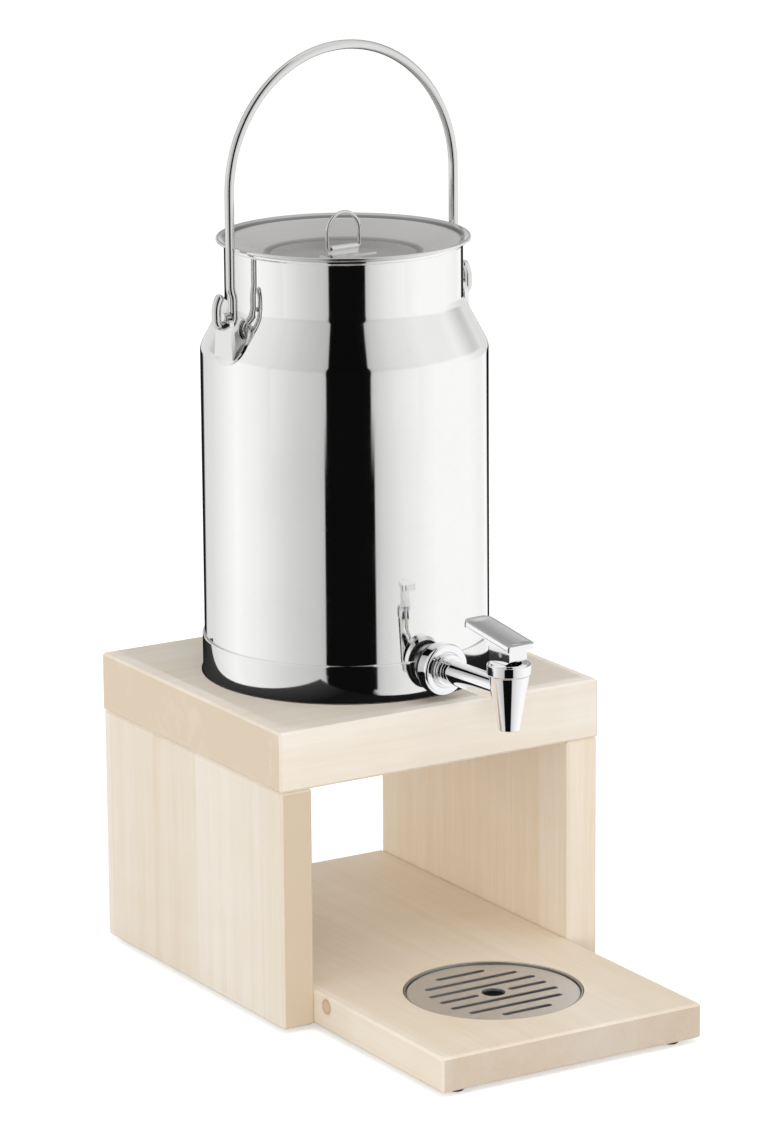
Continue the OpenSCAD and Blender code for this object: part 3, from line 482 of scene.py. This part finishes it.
def wood_group():
    """Maple: staves of a given width across the grain, each with its own tint, and in each a
    broad cloud along the grain, thin growth lines and short fine flecks."""
    group, start, end = new_group(
        "maple_boards",
        [("Place", "NodeSocketVector", None), ("Stave", "NodeSocketFloat", 0.06),
         ("Seed", "NodeSocketFloat", 0.0), ("Light", "NodeSocketColor", (0.80, 0.66, 0.47, 1)),
         ("Dark", "NodeSocketColor", (0.62, 0.46, 0.28, 1)), ("End grain and shade", "NodeSocketFloat", 0.0)],
        [("Color", "NodeSocketColor"), ("Roughness", "NodeSocketFloat"),
         ("Height", "NodeSocketFloat")])
    link = group.links.new
    parts = add(group, "ShaderNodeSeparateXYZ")
    link(start.outputs["Place"], parts.inputs[0])
    ratio = add(group, "ShaderNodeMath", operation="DIVIDE")
    link(parts.outputs["Y"], ratio.inputs[0])
    link(start.outputs["Stave"], ratio.inputs[1])
    shifted = add(group, "ShaderNodeMath", operation="ADD")
    link(ratio.outputs[0], shifted.inputs[0])
    link(start.outputs["Seed"], shifted.inputs[1])
    number = add(group, "ShaderNodeMath", operation="FLOOR")
    link(shifted.outputs[0], number.inputs[0])
    chance = add(group, "ShaderNodeTexWhiteNoise", noise_dimensions="1D")
    link(number.outputs[0], chance.inputs["W"])
    offset = add(group, "ShaderNodeVectorMath", operation="SCALE")
    link(chance.outputs["Color"], offset.inputs[0])
    offset.inputs["Scale"].default_value = 3.0
    moved = add(group, "ShaderNodeVectorMath", operation="ADD")
    link(start.outputs["Place"], moved.inputs[0])
    link(offset.outputs[0], moved.inputs[1])

    def streaks(stretch, scale, detail, distortion=0.0):
        """Noise stretched along the grain."""
        squeeze = add(group, "ShaderNodeVectorMath", {1: stretch}, operation="MULTIPLY")
        link(moved.outputs[0], squeeze.inputs[0])
        noise = add(group, "ShaderNodeTexNoise",
                    {"Scale": scale, "Detail": detail, "Roughness": 0.6, "Distortion": distortion})
        link(squeeze.outputs[0], noise.inputs["Vector"])
        return noise.outputs["Fac"]

    cloud = streaks((0.9, 7.0, 7.0), 1.6, 2.0, 0.4)
    lines = streaks((1.2, 42.0, 42.0), 2.2, 4.0, 0.25)
    flecks = streaks((14.0, 300.0, 300.0), 1.6, 2.0)
    figure = streaks((16.0, 3.0, 3.0), 2.4, 1.0)
    total = None
    shares = [(cloud, 0.42), (lines, 0.40), (flecks, 0.20), (figure, 0.16),
              (chance.outputs["Value"], 0.13)]
    for source, share in shares:
        weighed = add(group, "ShaderNodeMath", {1: share, 2: 0.0}, operation="MULTIPLY_ADD")
        link(source, weighed.inputs[0])
        if total is not None:
            link(total, weighed.inputs[2])
        total = weighed.outputs[0]
    tone = add(group, "ShaderNodeMapRange", {1: 0.42, 2: 0.90})
    link(total, tone.inputs[0])
    # this input darkens the ends of the grain, and on the left panel it carries painted shade on
    # its front and back edges
    deep = add(group, "ShaderNodeMath", {1: 0.35}, operation="MULTIPLY_ADD", use_clamp=True)
    link(start.outputs["End grain and shade"], deep.inputs[0])
    link(tone.outputs[0], deep.inputs[2])
    tint = add(group, "ShaderNodeMix", data_type="RGBA")
    link(deep.outputs[0], tint.inputs["Factor"])
    link(start.outputs["Light"], tint.inputs["A"])
    link(start.outputs["Dark"], tint.inputs["B"])
    link(tint.outputs["Result"], end.inputs["Color"])
    rough = add(group, "ShaderNodeMapRange", {1: 0.0, 2: 1.0, 3: 0.42, 4: 0.58})
    link(lines, rough.inputs[0])
    link(rough.outputs[0], end.inputs["Roughness"])
    height = add(group, "ShaderNodeMath", {1: 0.5}, operation="MULTIPLY_ADD")
    link(flecks, height.inputs[0])
    link(lines, height.inputs[2])
    link(height.outputs[0], end.inputs["Height"])
    return group


MAPLE = wood_group()


def maple(name, grain, stave, seed, light, dark, end=((1, 0, 0), 1.0, (1, 1, 1)), knot=None):
    """Fine sanded maple. Grain is the turn that carries the object's axes to along, across and
    through the board. End is the way that the darker faces face, how much of the dark tone they
    take and their tint: on most boards these are the ends of the grain, and on the left panel,
    whose grain runs upright, they are its front and back edges, darkened as painted shade. A knot
    is a centre and a radius."""
    mat, tree, shader, place = material(name)
    link = tree.links.new
    turn = add(tree, "ShaderNodeMapping", {"Rotation": grain})
    link(place, turn.inputs["Vector"])
    group = add(tree, "ShaderNodeGroup", node_tree=MAPLE)
    group.inputs["Stave"].default_value = stave * MM
    group.inputs["Seed"].default_value = seed
    group.inputs["Light"].default_value = (*light, 1)
    group.inputs["Dark"].default_value = (*dark, 1)
    link(turn.outputs[0], group.inputs["Place"])
    # darker faces: the ends of the grain, and on the left panel painted shade on its front and back
    # edges
    facing = add(tree, "ShaderNodeVectorMath", {1: end[0]}, operation="DOT_PRODUCT")
    link(tree.nodes["Texture Coordinate"].outputs["Normal"], facing.inputs[0])
    square = add(tree, "ShaderNodeMath", operation="MULTIPLY")
    link(facing.outputs["Value"], square.inputs[0])
    link(facing.outputs["Value"], square.inputs[1])
    end_grain_and_shade = add(tree, "ShaderNodeMapRange", {1: 0.4, 2: 0.8})
    link(square.outputs[0], end_grain_and_shade.inputs[0])
    deep = add(tree, "ShaderNodeMath", {1: end[1]}, operation="MULTIPLY")
    link(end_grain_and_shade.outputs[0], deep.inputs[0])
    link(deep.outputs[0], group.inputs["End grain and shade"])
    ends = add(tree, "ShaderNodeMix", data_type="RGBA", blend_type="MULTIPLY")
    ends.inputs["B"].default_value = (*end[2], 1)
    link(end_grain_and_shade.outputs[0], ends.inputs["Factor"])
    link(group.outputs["Color"], ends.inputs["A"])
    colour = ends.outputs["Result"]
    if knot is not None:
        shift = add(tree, "ShaderNodeMapping", {"Location": tuple(-c * MM for c in knot[0])})
        link(place, shift.inputs["Vector"])
        away = add(tree, "ShaderNodeVectorMath", operation="LENGTH")
        link(shift.outputs[0], away.inputs[0])
        rings = add(tree, "ShaderNodeTexNoise", {"Scale": 420.0, "Detail": 2.0})
        link(place, rings.inputs["Vector"])
        wavy = add(tree, "ShaderNodeMath", {1: 0.0012}, operation="MULTIPLY_ADD")
        link(rings.outputs["Fac"], wavy.inputs[0])
        link(away.outputs["Value"], wavy.inputs[2])
        disc = add(tree, "ShaderNodeValToRGB")
        scaled = add(tree, "ShaderNodeMath", {1: 1 / (knot[1] * MM * 1.6)}, operation="MULTIPLY")
        link(wavy.outputs[0], scaled.inputs[0])
        link(scaled.outputs[0], disc.inputs["Fac"])
        ramp(disc, [(0.0, 0.75), (0.3, 0.45), (0.55, 0.6), (0.66, 0.95), (0.74, 0.25), (1.0, 0.0)])
        stain = add(tree, "ShaderNodeMix", data_type="RGBA")
        stain.inputs["B"].default_value = (0.50, 0.30, 0.14, 1)
        link(disc.outputs["Color"], stain.inputs["Factor"])
        link(colour, stain.inputs["A"])
        colour = stain.outputs["Result"]
    link(colour, shader.inputs["Base Color"])
    link(group.outputs["Roughness"], shader.inputs["Roughness"])
    shader.inputs["Specular IOR Level"].default_value = 0.4
    lift = add(tree, "ShaderNodeBump", {"Strength": 0.12, "Distance": 0.0002})
    link(group.outputs["Height"], lift.inputs["Height"])
    link(lift.outputs[0], shader.inputs["Normal"])
    return mat


# ---------------------------------------------------------------- finishes
STEEL_TINT = (0.88, 0.88, 0.87)
mirror_steel = polished("mirror_steel", STEEL_TINT, 0.035, 0.05)
hoop_steel = polished("hoop_steel", (0.84, 0.84, 0.83), 0.06, 0.05)
wire_steel = polished("polished_wire", (0.70, 0.70, 0.69), 0.12, 0.05)
ear_steel = polished("welded_ears", (0.80, 0.80, 0.79), 0.10, 0.05)
chrome = polished("tap_chrome", (0.90, 0.90, 0.91), 0.03, 0.03)
lid_steel = spun_lid("lid_satin")
tray_steel = satin("tray_satin", (0.42, 0.42, 0.42), 0.34, 0.14, (900.0, 60.0, 60.0), (0, TRAY_Y))
# painted reflection: the blue cast of the grille's colour offsets the warm light it mirrors from
# the wood
grille_steel = satin("grille_brushed", (0.78, 0.815, 0.865), 0.40, 0.18, (14.0, 1500.0, 60.0),
                     bump=0.12)
inner_steel = satin("inner_satin", (0.66, 0.66, 0.65), 0.38, 0.14, (60.0, 900.0, 60.0), (0, CAN_Y))
small_steel = satin("small_parts_satin", (0.68, 0.68, 0.67), 0.28, 0.12, (400.0, 400.0, 40.0))
spring_steel = satin("spring_wire", (0.55, 0.55, 0.54), 0.32, 0.10, (300.0, 300.0, 300.0))
black_rubber = rubber("black_rubber", (0.018, 0.018, 0.018), 0.55)
silicone = rubber("clear_silicone", (0.80, 0.80, 0.77), 0.35, 0.3)

# LIGHT_MAPLE and DARK_MAPLE, on the top board and the left panel, are partly the maple's pale tone
# and partly painted sheen, which makes them paler and less saturated
LIGHT_MAPLE = (0.885, 0.825, 0.755)
DARK_MAPLE = (0.765, 0.655, 0.51)
along_x = (0.0, 0.0, 0.0)
along_y = (0.0, 0.0, math.radians(90))
along_z = (0.0, math.radians(90), 0.0)
wood_top = maple("maple_top", along_x, 71.0, 0.35, LIGHT_MAPLE, DARK_MAPLE,
                 ((1, 0, 0), 1.6, (0.94, 0.91, 0.89)))
# painted shade: the left panel's front and back edges, facing along Y, take the dark tone and a
# darker tint, though its grain runs upright
wood_left = maple("maple_left", along_z, 53.0, 0.80, LIGHT_MAPLE, DARK_MAPLE,
                  ((0, 1, 0), 2.0, (0.84, 0.80, 0.76)))
# the right panel's warmer, more saturated tones are partly its own tone and partly painted warm
# bounce light and shade inside the stand
wood_right = maple("maple_right", along_z, 58.0, 5.10, (0.88, 0.80, 0.695), (0.75, 0.60, 0.42),
                   ((0, 1, 0), 0.0, (1, 1, 1)))
# the shelf's warmer, more saturated tones are partly its own tone and partly painted warm bounce
# light and shade inside the stand
wood_shelf = maple("maple_shelf", along_y, 63.0, 9.30, (0.90, 0.825, 0.72), (0.79, 0.66, 0.49),
                   ((0, 1, 0), 0.8, (0.78, 0.77, 0.80)), knot=((-88.5, -50.5, 17.7), 4.5))
wood_dowel = maple("beech_dowels", along_x, 20.0, 2.0, (0.72, 0.56, 0.40), (0.58, 0.42, 0.28))

FINISH = {
    "top_board": wood_top, "left_panel": wood_left, "right_panel": wood_right,
    "base_shelf": wood_shelf, "top_dowels": wood_dowel, "shelf_dowels": wood_dowel,
    "feet": black_rubber, "drip_tray": tray_steel, "drip_grille": grille_steel,
    "can_body": mirror_steel, "foot_hoop": hoop_steel, "tap_socket": small_steel,
    "left_ear": ear_steel, "right_ear": ear_steel, "handle": wire_steel,
    "lid_dish": lid_steel, "lid_plug": inner_steel, "lid_seal": silicone,
    "lid_clip": wire_steel, "lid_ring": wire_steel, "outer_washer": black_rubber,
    "coupling_nut": chrome, "tap_body": chrome, "inner_washer": black_rubber,
    "lock_nut": chrome, "bonnet": chrome, "spindle": small_steel, "valve_seal": black_rubber,
    "valve_spring": spring_steel, "lever_pin": small_steel, "lever": chrome,
}
for node, finish in FINISH.items():
    cad_mesh = nodes[node].data
    cad_mesh.materials.clear()
    cad_mesh.materials.append(finish)


# ---------------------------------------------------------------- the can
LEAN = math.atan((CAN_R - NECK_R) / (NECK_Z - CORNER_Z))    # the shoulder's angle from upright


def can_outline(inset):
    """The can's outline moved inwards: the top of the wall and the bottom of the neck, each as
    radius and height."""
    corner_z = CORNER_Z - inset * math.tan(LEAN / 2)
    neck_z = NECK_Z - inset * (1 / math.cos(LEAN) - 1) / math.tan(LEAN)
    return [CAN_R - inset, corner_z], [NECK_R - inset, neck_z]


def can_shell():
    """The drawn shell: outside up to the rolled lip, over it, and down the inside to the
    floor, one closed profile turned about the can's axis."""
    out_corner, out_neck = can_outline(0)
    in_corner, in_neck = can_outline(SHEET)
    floor_z, edge_z, wall_bend, neck_bend = CAN_FOOT + 5, CAN_FOOT + SHEET + 0.02, 12.0, 9.0
    lip_r, lip_z = NECK_R - SHEET + LIP_D / 2, RIM_Z - LIP_D / 2
    a = np.radians(np.linspace(-60, 180, 11))
    roll = np.stack([lip_r + LIP_D / 2 * np.cos(a), lip_z + LIP_D / 2 * np.sin(a)], 1).tolist()
    points = [[CAN_R - SHEET, edge_z], [CAN_R - 0.02, edge_z], out_corner, out_neck,
              [NECK_R, lip_z - 1.6]]
    radii = [0.1, 0.1, wall_bend, neck_bend, 0.5]
    points += roll
    radii += [0.9] + [3.0] * (len(roll) - 1)
    points += [in_neck, in_corner, [CAN_R - SHEET, floor_z], [0, floor_z],
               [0, floor_z - SHEET], [CAN_R - 6, floor_z - SHEET]]
    radii += [neck_bend - SHEET, wall_bend - SHEET, 6.0, 0, 0, 4.0]
    return turned("can_shell", points, radii, "can", mirror_steel, ["can_body"], segments=256)


def foot_hoop():
    """The hoop round the can's foot: a thin band with soft edges, turned in under the foot."""
    r0, r1 = CAN_R + 0.02, HOOP_R
    z0, z1 = CAN_FOOT + 0.02, CAN_FOOT + 31
    points = [[CAN_R - SHEET - 1.4, z0], [r1, z0], [r1, z1 - 1.1], [r1, z1 - 0.9], [r1 - 0.1, z1],
              [r0, z1], [r0, z0 + SHEET], [CAN_R - SHEET - 1.4, z0 + SHEET]]
    radii = [0.1, 0.6, 0.3, 0.3, 0.5, 0.05, 0.2, 0.1]
    return turned("hoop_band", points, radii, "can", hoop_steel, ["foot_hoop"], segments=256)


# ---------------------------------------------------------------- the lid
def lid_dish():
    """The pressed dish: a rolled edge, a sloping wall with soft bends and a flat floor, drawn
    as one sheet about a millimetre thick."""
    low, top = RIM_Z + 0.05, RIM_Z + 2.25
    floor_z, roll_r, roll_d = top - 10.8, 74.4, 2.2
    points = [[0, floor_z - 1], [44, floor_z - 1], [46, floor_z - 0.5], [68.4, top - 4.0],
              [70, low], [73.6, low]]
    radii = [0, 2.0, 2.0, 1.0, 0.8, 0.3]
    a = np.radians(np.linspace(-70, 110, 9))
    around = np.stack([np.cos(a), 1 + np.sin(a)], 1)
    points += ([roll_r, low] + roll_d / 2 * around).tolist()
    radii += [0.3] + [2.0] * (len(a) - 1)
    points += [[71.2, top - 1.1], [69, top - 2.6], [45.2, floor_z + 0.5], [43.5, floor_z],
               [0, floor_z]]
    radii += [2.2, 2.5, 3.0, 3.0, 0]
    return turned("lid_pan", points, radii, "lid", lid_steel, ["lid_dish"], segments=224,
                  closed=False)


def handle_wire():
    """The handle: from the top of the arch down each side, a small step in towards the can,
    out through the eye of the ear, and up again in a hooked end that leans back in. The step is
    two equal bends with a straight of one between them, and moves the leg in by
    2 step_r (1 - cos a) + sin a, which is solved for the angle a."""
    ear_plate = 1.2 / math.cos(LEAN)
    leg_r = NECK_R + (NECK_Z - PIVOT_Z) * math.tan(LEAN) + ear_plate + WIRE_R + 0.4
    arch_r, rise, step_r, leg = 80.4, 157.0, 12.0, 14.0
    out, bend_r, hook, hook_bend_r, hook_turn = 11.7, 4.2, 9.0, 13.0, 34.0
    inward = arch_r - leg_r
    root = math.sqrt(1 + 4 * step_r * inward - inward ** 2)
    a = 2 * math.atan((root - 1) / (4 * step_r - inward))
    step_h = 2 * step_r * math.sin(a) + math.cos(a)
    a = math.degrees(a)
    half = [[0, arch_r, -90], [rise - arch_r - leg - step_h, step_r, -a], [1, step_r, a],
            [leg - bend_r, bend_r, 90], [out - 2 * bend_r, bend_r, 90],
            [hook - bend_r, hook_bend_r, hook_turn]]
    points, ways = arcs(half, start=(0, rise), heading=0)
    full = np.concatenate([points[::-1][:-1] * [-1, 1], points])
    both = np.concatenate([-ways[::-1][:-1], ways])
    v, n, faces = wire(full, both, WIRE_R)
    place = can_axes(v + np.array([0, 0, PIVOT_Z]))
    return skin("handle_wire", place, can_turned(n), faces, "carrier", wire_steel, ["handle"])


def pull_ring():
    """The lid's ring: an arch with straight sides and a lower bar, closed on itself."""
    r, high, corner, clip_z = 11.5, 21.3, 1.9, RIM_Z - 5.45
    loop = [[r - corner, corner, 90], [high - r - corner, r, 180], [high - r - corner, corner, 90],
            [r - corner, 0, 0]]
    points, ways = arcs(loop, start=(0, 0), heading=0)
    v, n, faces = wire(points, ways, 1.15, sides=24)
    place = can_axes(v + np.array([0, 0, clip_z]))
    return skin("pull_ring", place, can_turned(n), faces, "pull", wire_steel, ["lid_ring"])


# ---------------------------------------------------------------- the tap
def coupling_nut():
    """The round nut: a thick disc with soft rims, and a shallow groove round the collar."""
    back, face, r = 91.6, 102.0, 15.5
    points = [[8.1, back], [r - 2.2, back], [r, back + 2.0], [r, face], [11.0, face],
              [10.3, face - 0.9], [8.1, face - 0.9]]
    return turned("nut_ring", points, [0.1, 0.8, 1.2, 2.6, 0.4, 0.2, 0.1], "can", chrome,
                  ["coupling_nut"], on_tap=True, segments=160, steps=9)


def tap_casting():
    """The tap's casting as three turned forms: tail and collar, shank, and the tapered spout
    with its collar and its open outlet. The shank runs into the spout."""
    tail = [[4.5, 73.2], [8, 73.2], [8, 101.1], [9.8, 101.1], [9.8, 105.2], [7.25, 105.2],
            [7.25, 154], [4.5, 154]]
    v, n, f = spin(*rounded(tail, [0.3, 0.5, 0.1, 0.1, 0.9, 0.5, 0.1, 0.1]), 128)
    spout = [[4.2, -22.3], [6.3, -22.3], [12.0, 10.6], [12.9, 11.6], [12.9, 17.2], [9.5, 17.2],
             [9.5, 8.2], [6.4, 8.2], [6.4, -7.4], [4.2, -7.4]]
    w, m, g = spin(*rounded(spout, [0.3, 0.5, 0.6, 0.5, 0.5, 0.1, 0.1, 0.1, 0.1, 0.1]), 128)
    v, n, w = lying(v, TAP_Z), lying(n, 0), w + [0, -REACH, TAP_Z]
    place = np.concatenate([v.reshape(-1, 3), w.reshape(-1, 3)])
    ways = np.concatenate([n.reshape(-1, 3), m.reshape(-1, 3)])
    faces = np.concatenate([f, g + v.shape[0] * v.shape[1]])
    return skin("tap_casting", can_axes(place), can_turned(ways), faces, "can", chrome,
                ["tap_body"])


def lever_plate():
    """The lever's plate, laid over the drawn one: rings round a rounded outline, from the
    middle of the dished top out to the edge, over a round edge, down the side and back in to
    the middle of the underside. The top sinks by dish * (1 - (x / (half - side_rim))^2), times
    3 run^2 - 2 run^3 where run falls to nothing at both ends. Normals are the cross product of
    the surface's two directions."""
    length, half, thick, edge, slope = 46.1, 9.55, 3.5, 1.1, math.radians(9.4)
    dish, side_rim, end_rim, end_rise, front_up = 0.75, 1.3, 1.2, 4.5, 7.44
    rows, edge_rows, parts = 21, 8, 4
    outline, out = rounded([[-half, 0], [half, 0], [half, length], [-half, length]],
                           [1.6, 1.6, 5.0, 5.0], steps=11)
    share = np.linspace(0, 1, parts + 1)[:-1, None]
    outline = outline[:, None] * (1 - share) + np.roll(outline, -1, 0)[:, None] * share
    out = out[:, None] * (1 - share) + np.roll(out, -1, 0)[:, None] * share
    outline, out = outline.reshape(-1, 2), unit(out.reshape(-1, 2))
    middle, inner = np.array([0, length / 2]), outline - out * edge
    grow, a = np.linspace(0, 1, rows + 1), np.linspace(0, np.pi / 2, edge_rows + 1)[1:]
    top = middle + grow[:, None, None] * (inner - middle)
    round_top = inner + (edge * np.sin(a))[:, None, None] * out
    upper = np.concatenate([top, round_top])
    flat = np.concatenate([upper, upper[::-1]])
    drop = np.concatenate([0 * grow, edge * (1 - np.cos(a))])
    x, y = upper[..., 0], upper[..., 1]
    run = np.clip(np.minimum(y - end_rim, length - end_rim - y) / end_rise, 0, 1)
    sunk = dish * np.clip(1 - (x / (half - side_rim)) ** 2, 0, None) * run * run * (3 - 2 * run)
    height = np.concatenate([-sunk - drop[:, None], (-thick + drop[::-1])[:, None] + 0 * x])
    local = np.concatenate([flat, height[..., None]], 2)
    along, round_it = np.gradient(local, axis=0), np.roll(local, -1, 1) - np.roll(local, 1, 1)
    way = unit(np.cross(round_it, along))
    way *= np.sign(way[rows // 2, 0, 2])
    way[0], way[-1] = (0, 0, 1), (0, 0, -1)
    c, n = math.cos(slope), math.sin(slope)
    lean = np.array([[1, 0, 0], [0, c, -n], [0, n, c]]).T
    index = np.arange(local.shape[0] * local.shape[1]).reshape(local.shape[:2])
    index[[0, -1]] = index[[0, -1], :1]
    place = local @ lean + [0, PLATE_Y - REACH, PIN_Z + front_up]
    return skin("lever_plate", can_axes(place), can_turned(way @ lean), round_faces(index),
                "tap_lever", chrome)


can_shell()
foot_hoop()
lid_dish()
lever_plate()
handle_wire()
pull_ring()
coupling_nut()
tap_casting()


# ---------------------------------------------------------------- the studio
# brightness of the studio that polished metal sees, by the angle in degrees about the can from
# the camera's side: a dark flag in front, a softbox at each side and a dark flag behind
STUDIO = [(-180, 0.01), (-154, 0.01), (-150, 0.75), (-130, 0.82), (-95, 1.08), (-72, 0.97),
          (-45, 0.74), (-21, 0.61), (-16.5, 0.55), (-15.5, 0.004), (22, 0.004), (23, 0.6),
          (29, 0.72), (45, 0.90), (75, 1.07), (115, 1.06), (135, 0.98), (153, 1.06), (156, 0.01),
          (180, 0.01)]
# rings of the surround: radius, height, how much the angle is narrowed, grey of the wall behind
RINGS = [(330, 3, 1.0, 0), (1450, 3, 1.0, 0), (1700, 3, 0.90, 0), (2400, 3, 0.90, 0),
         (2400, 60, 0.90, 0.80), (2400, 640, 0.91, 0.80), (2400, 900, 0.92, 0.34),
         (2400, 1500, 0.95, 0.36), (2400, 3600, 0.95, 0.88), (1200, 4200, 0.95, 0.98),
         (0, 4300, 0.95, 0.98)]


def glow(name, verts, faces, light):
    """A board that only reflections see, lit as its vertices' own brightness says."""
    mesh = bpy.data.meshes.new(name)
    mesh.from_pydata((verts * MM).tolist(), [], faces.tolist())
    values = mesh.attributes.new("glow", "FLOAT", "POINT").data
    values.foreach_set("value", light.astype(np.float32))
    mat = bpy.data.materials.new(name)
    mat.use_nodes = True
    tree = mat.node_tree
    tree.nodes.clear()
    source = add(tree, "ShaderNodeAttribute", attribute_name="glow")
    shine = add(tree, "ShaderNodeEmission")
    out = tree.nodes.new("ShaderNodeOutputMaterial")
    tree.links.new(source.outputs["Fac"], shine.inputs["Strength"])
    tree.links.new(shine.outputs[0], out.inputs["Surface"])
    mesh.materials.append(mat)
    board = bpy.data.objects.new(name, mesh)
    bpy.context.scene.collection.objects.link(board)
    board.visible_camera = board.visible_shadow = board.visible_diffuse = False


def surround():
    """The studio as metal sees it: rings of radius and height about the can, from a hole round
    the stand over the floor, up the wall and over the top, each lit by the table above. The
    angle is narrowed a little far out, where the can's neck looks, and the wall behind has its
    own greys."""
    angle = np.arange(-180, 180, 0.5)
    places, lights = [], []
    for radius, height, narrow, rear in RINGS:
        a = TOWARD + np.radians(angle)
        places.append(np.stack([radius * np.cos(a), CAN_Y + radius * np.sin(a), 0 * a + height], 1))
        seen = np.where(np.abs(angle) < 60, angle / narrow, angle)
        light = np.interp(seen, *zip(*STUDIO))
        behind = np.interp(np.abs(angle), [110, 150, 180], [0.0, 1.0, 1.0]) * (rear > 0)
        dim = np.interp(height, [900, 1600], [1.0, 0.86])
        lights.append(light * dim * (1 - behind) + behind * rear)
    index = np.arange(len(RINGS) * len(angle)).reshape(len(RINGS), -1)
    low, high = index[:-1], index[1:]
    faces = np.stack([low, np.roll(low, -1, 1), np.roll(high, -1, 1), high], 2)
    glow("studio_surround", np.concatenate(places), faces.reshape(-1, 4), np.concatenate(lights))


def board_flag():
    """A sheet over the top board, which darkens the board's mirror image in the can, with a
    frame at its edges. A point of the frame at far and round_can from the axis is mirrored by
    the wall at half its direction's angle, where far sin(2 wall - round_can) = CAN_R sin(wall);
    that is solved in Newton's steps, and the frame is as bright as the studio that way."""
    left, right, front, height = -100, 105, -28, 183.3
    x = np.unique(np.r_[-112:-100.4:3, left - 0.5, left, -96:104:4, right, right + 0.5, 112])
    y = np.unique(np.r_[-40:-28.6:3, front - 0.5, front, -24:170:6, 170, 180])
    gx, gy = np.meshgrid(x, y, indexing="ij")
    verts = np.stack([gx, gy, 0 * gx + height], -1).reshape(-1, 3)
    light = np.interp(gx.ravel(), [left, -60, right], [0.05, 0.008, 0.015])
    edge = ((gx < left - 0.2) | (gx > right + 0.2) | (gy < front - 0.2)).ravel()
    far = np.hypot(gx, gy - CAN_Y).ravel()
    round_can = (np.arctan2(gy - CAN_Y, gx).ravel() - TOWARD + np.pi) % (2 * np.pi) - np.pi
    wall = round_can / 2
    for _ in range(20):
        wall -= (far * np.sin(2 * wall - round_can) - CAN_R * np.sin(wall)) / \
                (2 * far * np.cos(2 * wall - round_can) - CAN_R * np.cos(wall))
    mirrored = np.interp(np.clip(np.degrees(2 * wall), -180, 180), *zip(*STUDIO))
    light = np.where(edge, mirrored, light)
    index = np.arange(len(x) * len(y)).reshape(len(x), len(y))
    faces = np.stack([index[:-1, :-1], index[1:, :-1], index[1:, 1:], index[:-1, 1:]], 2)
    glow("board_flag", verts, faces.reshape(-1, 4), light)


def floor(half=30.0):
    """A plain pale floor, a little brighter for the camera, as in an overlit studio."""
    mesh = bpy.data.meshes.new("studio_floor")
    corners = [(-half, -half, 0), (half, -half, 0), (half, half, 0), (-half, half, 0)]
    mesh.from_pydata(corners, [], [(0, 1, 2, 3)])
    mat = bpy.data.materials.new("studio_floor")
    mat.use_nodes = True
    shader = mat.node_tree.nodes["Principled BSDF"]
    shader.inputs["Base Color"].default_value = (0.80, 0.79, 0.77, 1)
    shader.inputs["Emission Color"].default_value = (1, 1, 1, 1)
    seen = add(mat.node_tree, "ShaderNodeLightPath")
    lift = add(mat.node_tree, "ShaderNodeMath", {1: 0.5}, operation="MULTIPLY")
    mat.node_tree.links.new(seen.outputs["Is Camera Ray"], lift.inputs[0])
    mat.node_tree.links.new(lift.outputs[0], shader.inputs["Emission Strength"])
    shader.inputs["Roughness"].default_value = 0.9
    shader.inputs["Specular IOR Level"].default_value = 0.0
    mesh.materials.append(mat)
    plane = bpy.data.objects.new("studio_floor", mesh)
    bpy.context.scene.collection.objects.link(plane)


def area(name, place, aim, size, power):
    """A soft square lamp."""
    data = bpy.data.lights.new(name, "AREA")
    data.shape = "SQUARE"
    data.size = size
    data.energy = power
    lamp = bpy.data.objects.new(name, data)
    lamp.location = place
    lamp.rotation_euler = (Vector(aim) - Vector(place)).to_track_quat("-Z", "Y").to_euler()
    lamp.visible_glossy = False
    lamp.visible_camera = False
    bpy.context.scene.collection.objects.link(lamp)


floor()
world = bpy.data.worlds.new("studio")
bpy.context.scene.world = world
world.use_nodes = True
sky = world.node_tree.nodes["Background"]
sky.inputs["Color"].default_value = (1, 1, 1, 1)
sky.inputs["Strength"].default_value = 0.66
LAMPS = [  # name, place, what it aims at, size and power
    ("fill", (-1.2, -2.4, 0.5), (0, 0, 0.10), 1.2, 25.0),
    ("left", (-2.2, -0.9, 0.8), (0, 0, 0.1), 1.4, 3.0),
    ("top", (0.1, -0.7, 2.3), (0, 0.0, 0.1), 1.8, 12.0),
    ("behind", (-0.7, 1.6, 0.35), (0.05, 0.0, 0.05), 0.8, 9.0),
]
for lamp in LAMPS:
    area(*lamp)

surround()
board_flag()

# ---------------------------------------------------------------- the camera
camera_data = bpy.data.cameras.new("camera")
camera = bpy.data.objects.new("camera", camera_data)
bpy.context.scene.collection.objects.link(camera)
flat = math.cos(PITCH)
back = Vector((math.sin(VIEW) * flat, -math.cos(VIEW) * flat, math.sin(PITCH)))
side = (-back).cross(Vector((0, 0, 1))).normalized()
above = side.cross(-back)
side_rolled = side * math.cos(ROLL) + above * math.sin(ROLL)
above_rolled = above * math.cos(ROLL) - side * math.sin(ROLL)
camera.location = CAM
camera.rotation_euler = Matrix((side_rolled, above_rolled, back)).transposed().to_euler()
camera_data.sensor_fit = "VERTICAL"
camera_data.sensor_height = 36.0
camera_data.lens = FOCUS * camera_data.sensor_height
camera_data.clip_end = 100.0
bpy.context.scene.camera = camera
bpy.context.scene.view_settings.view_transform = "Standard"
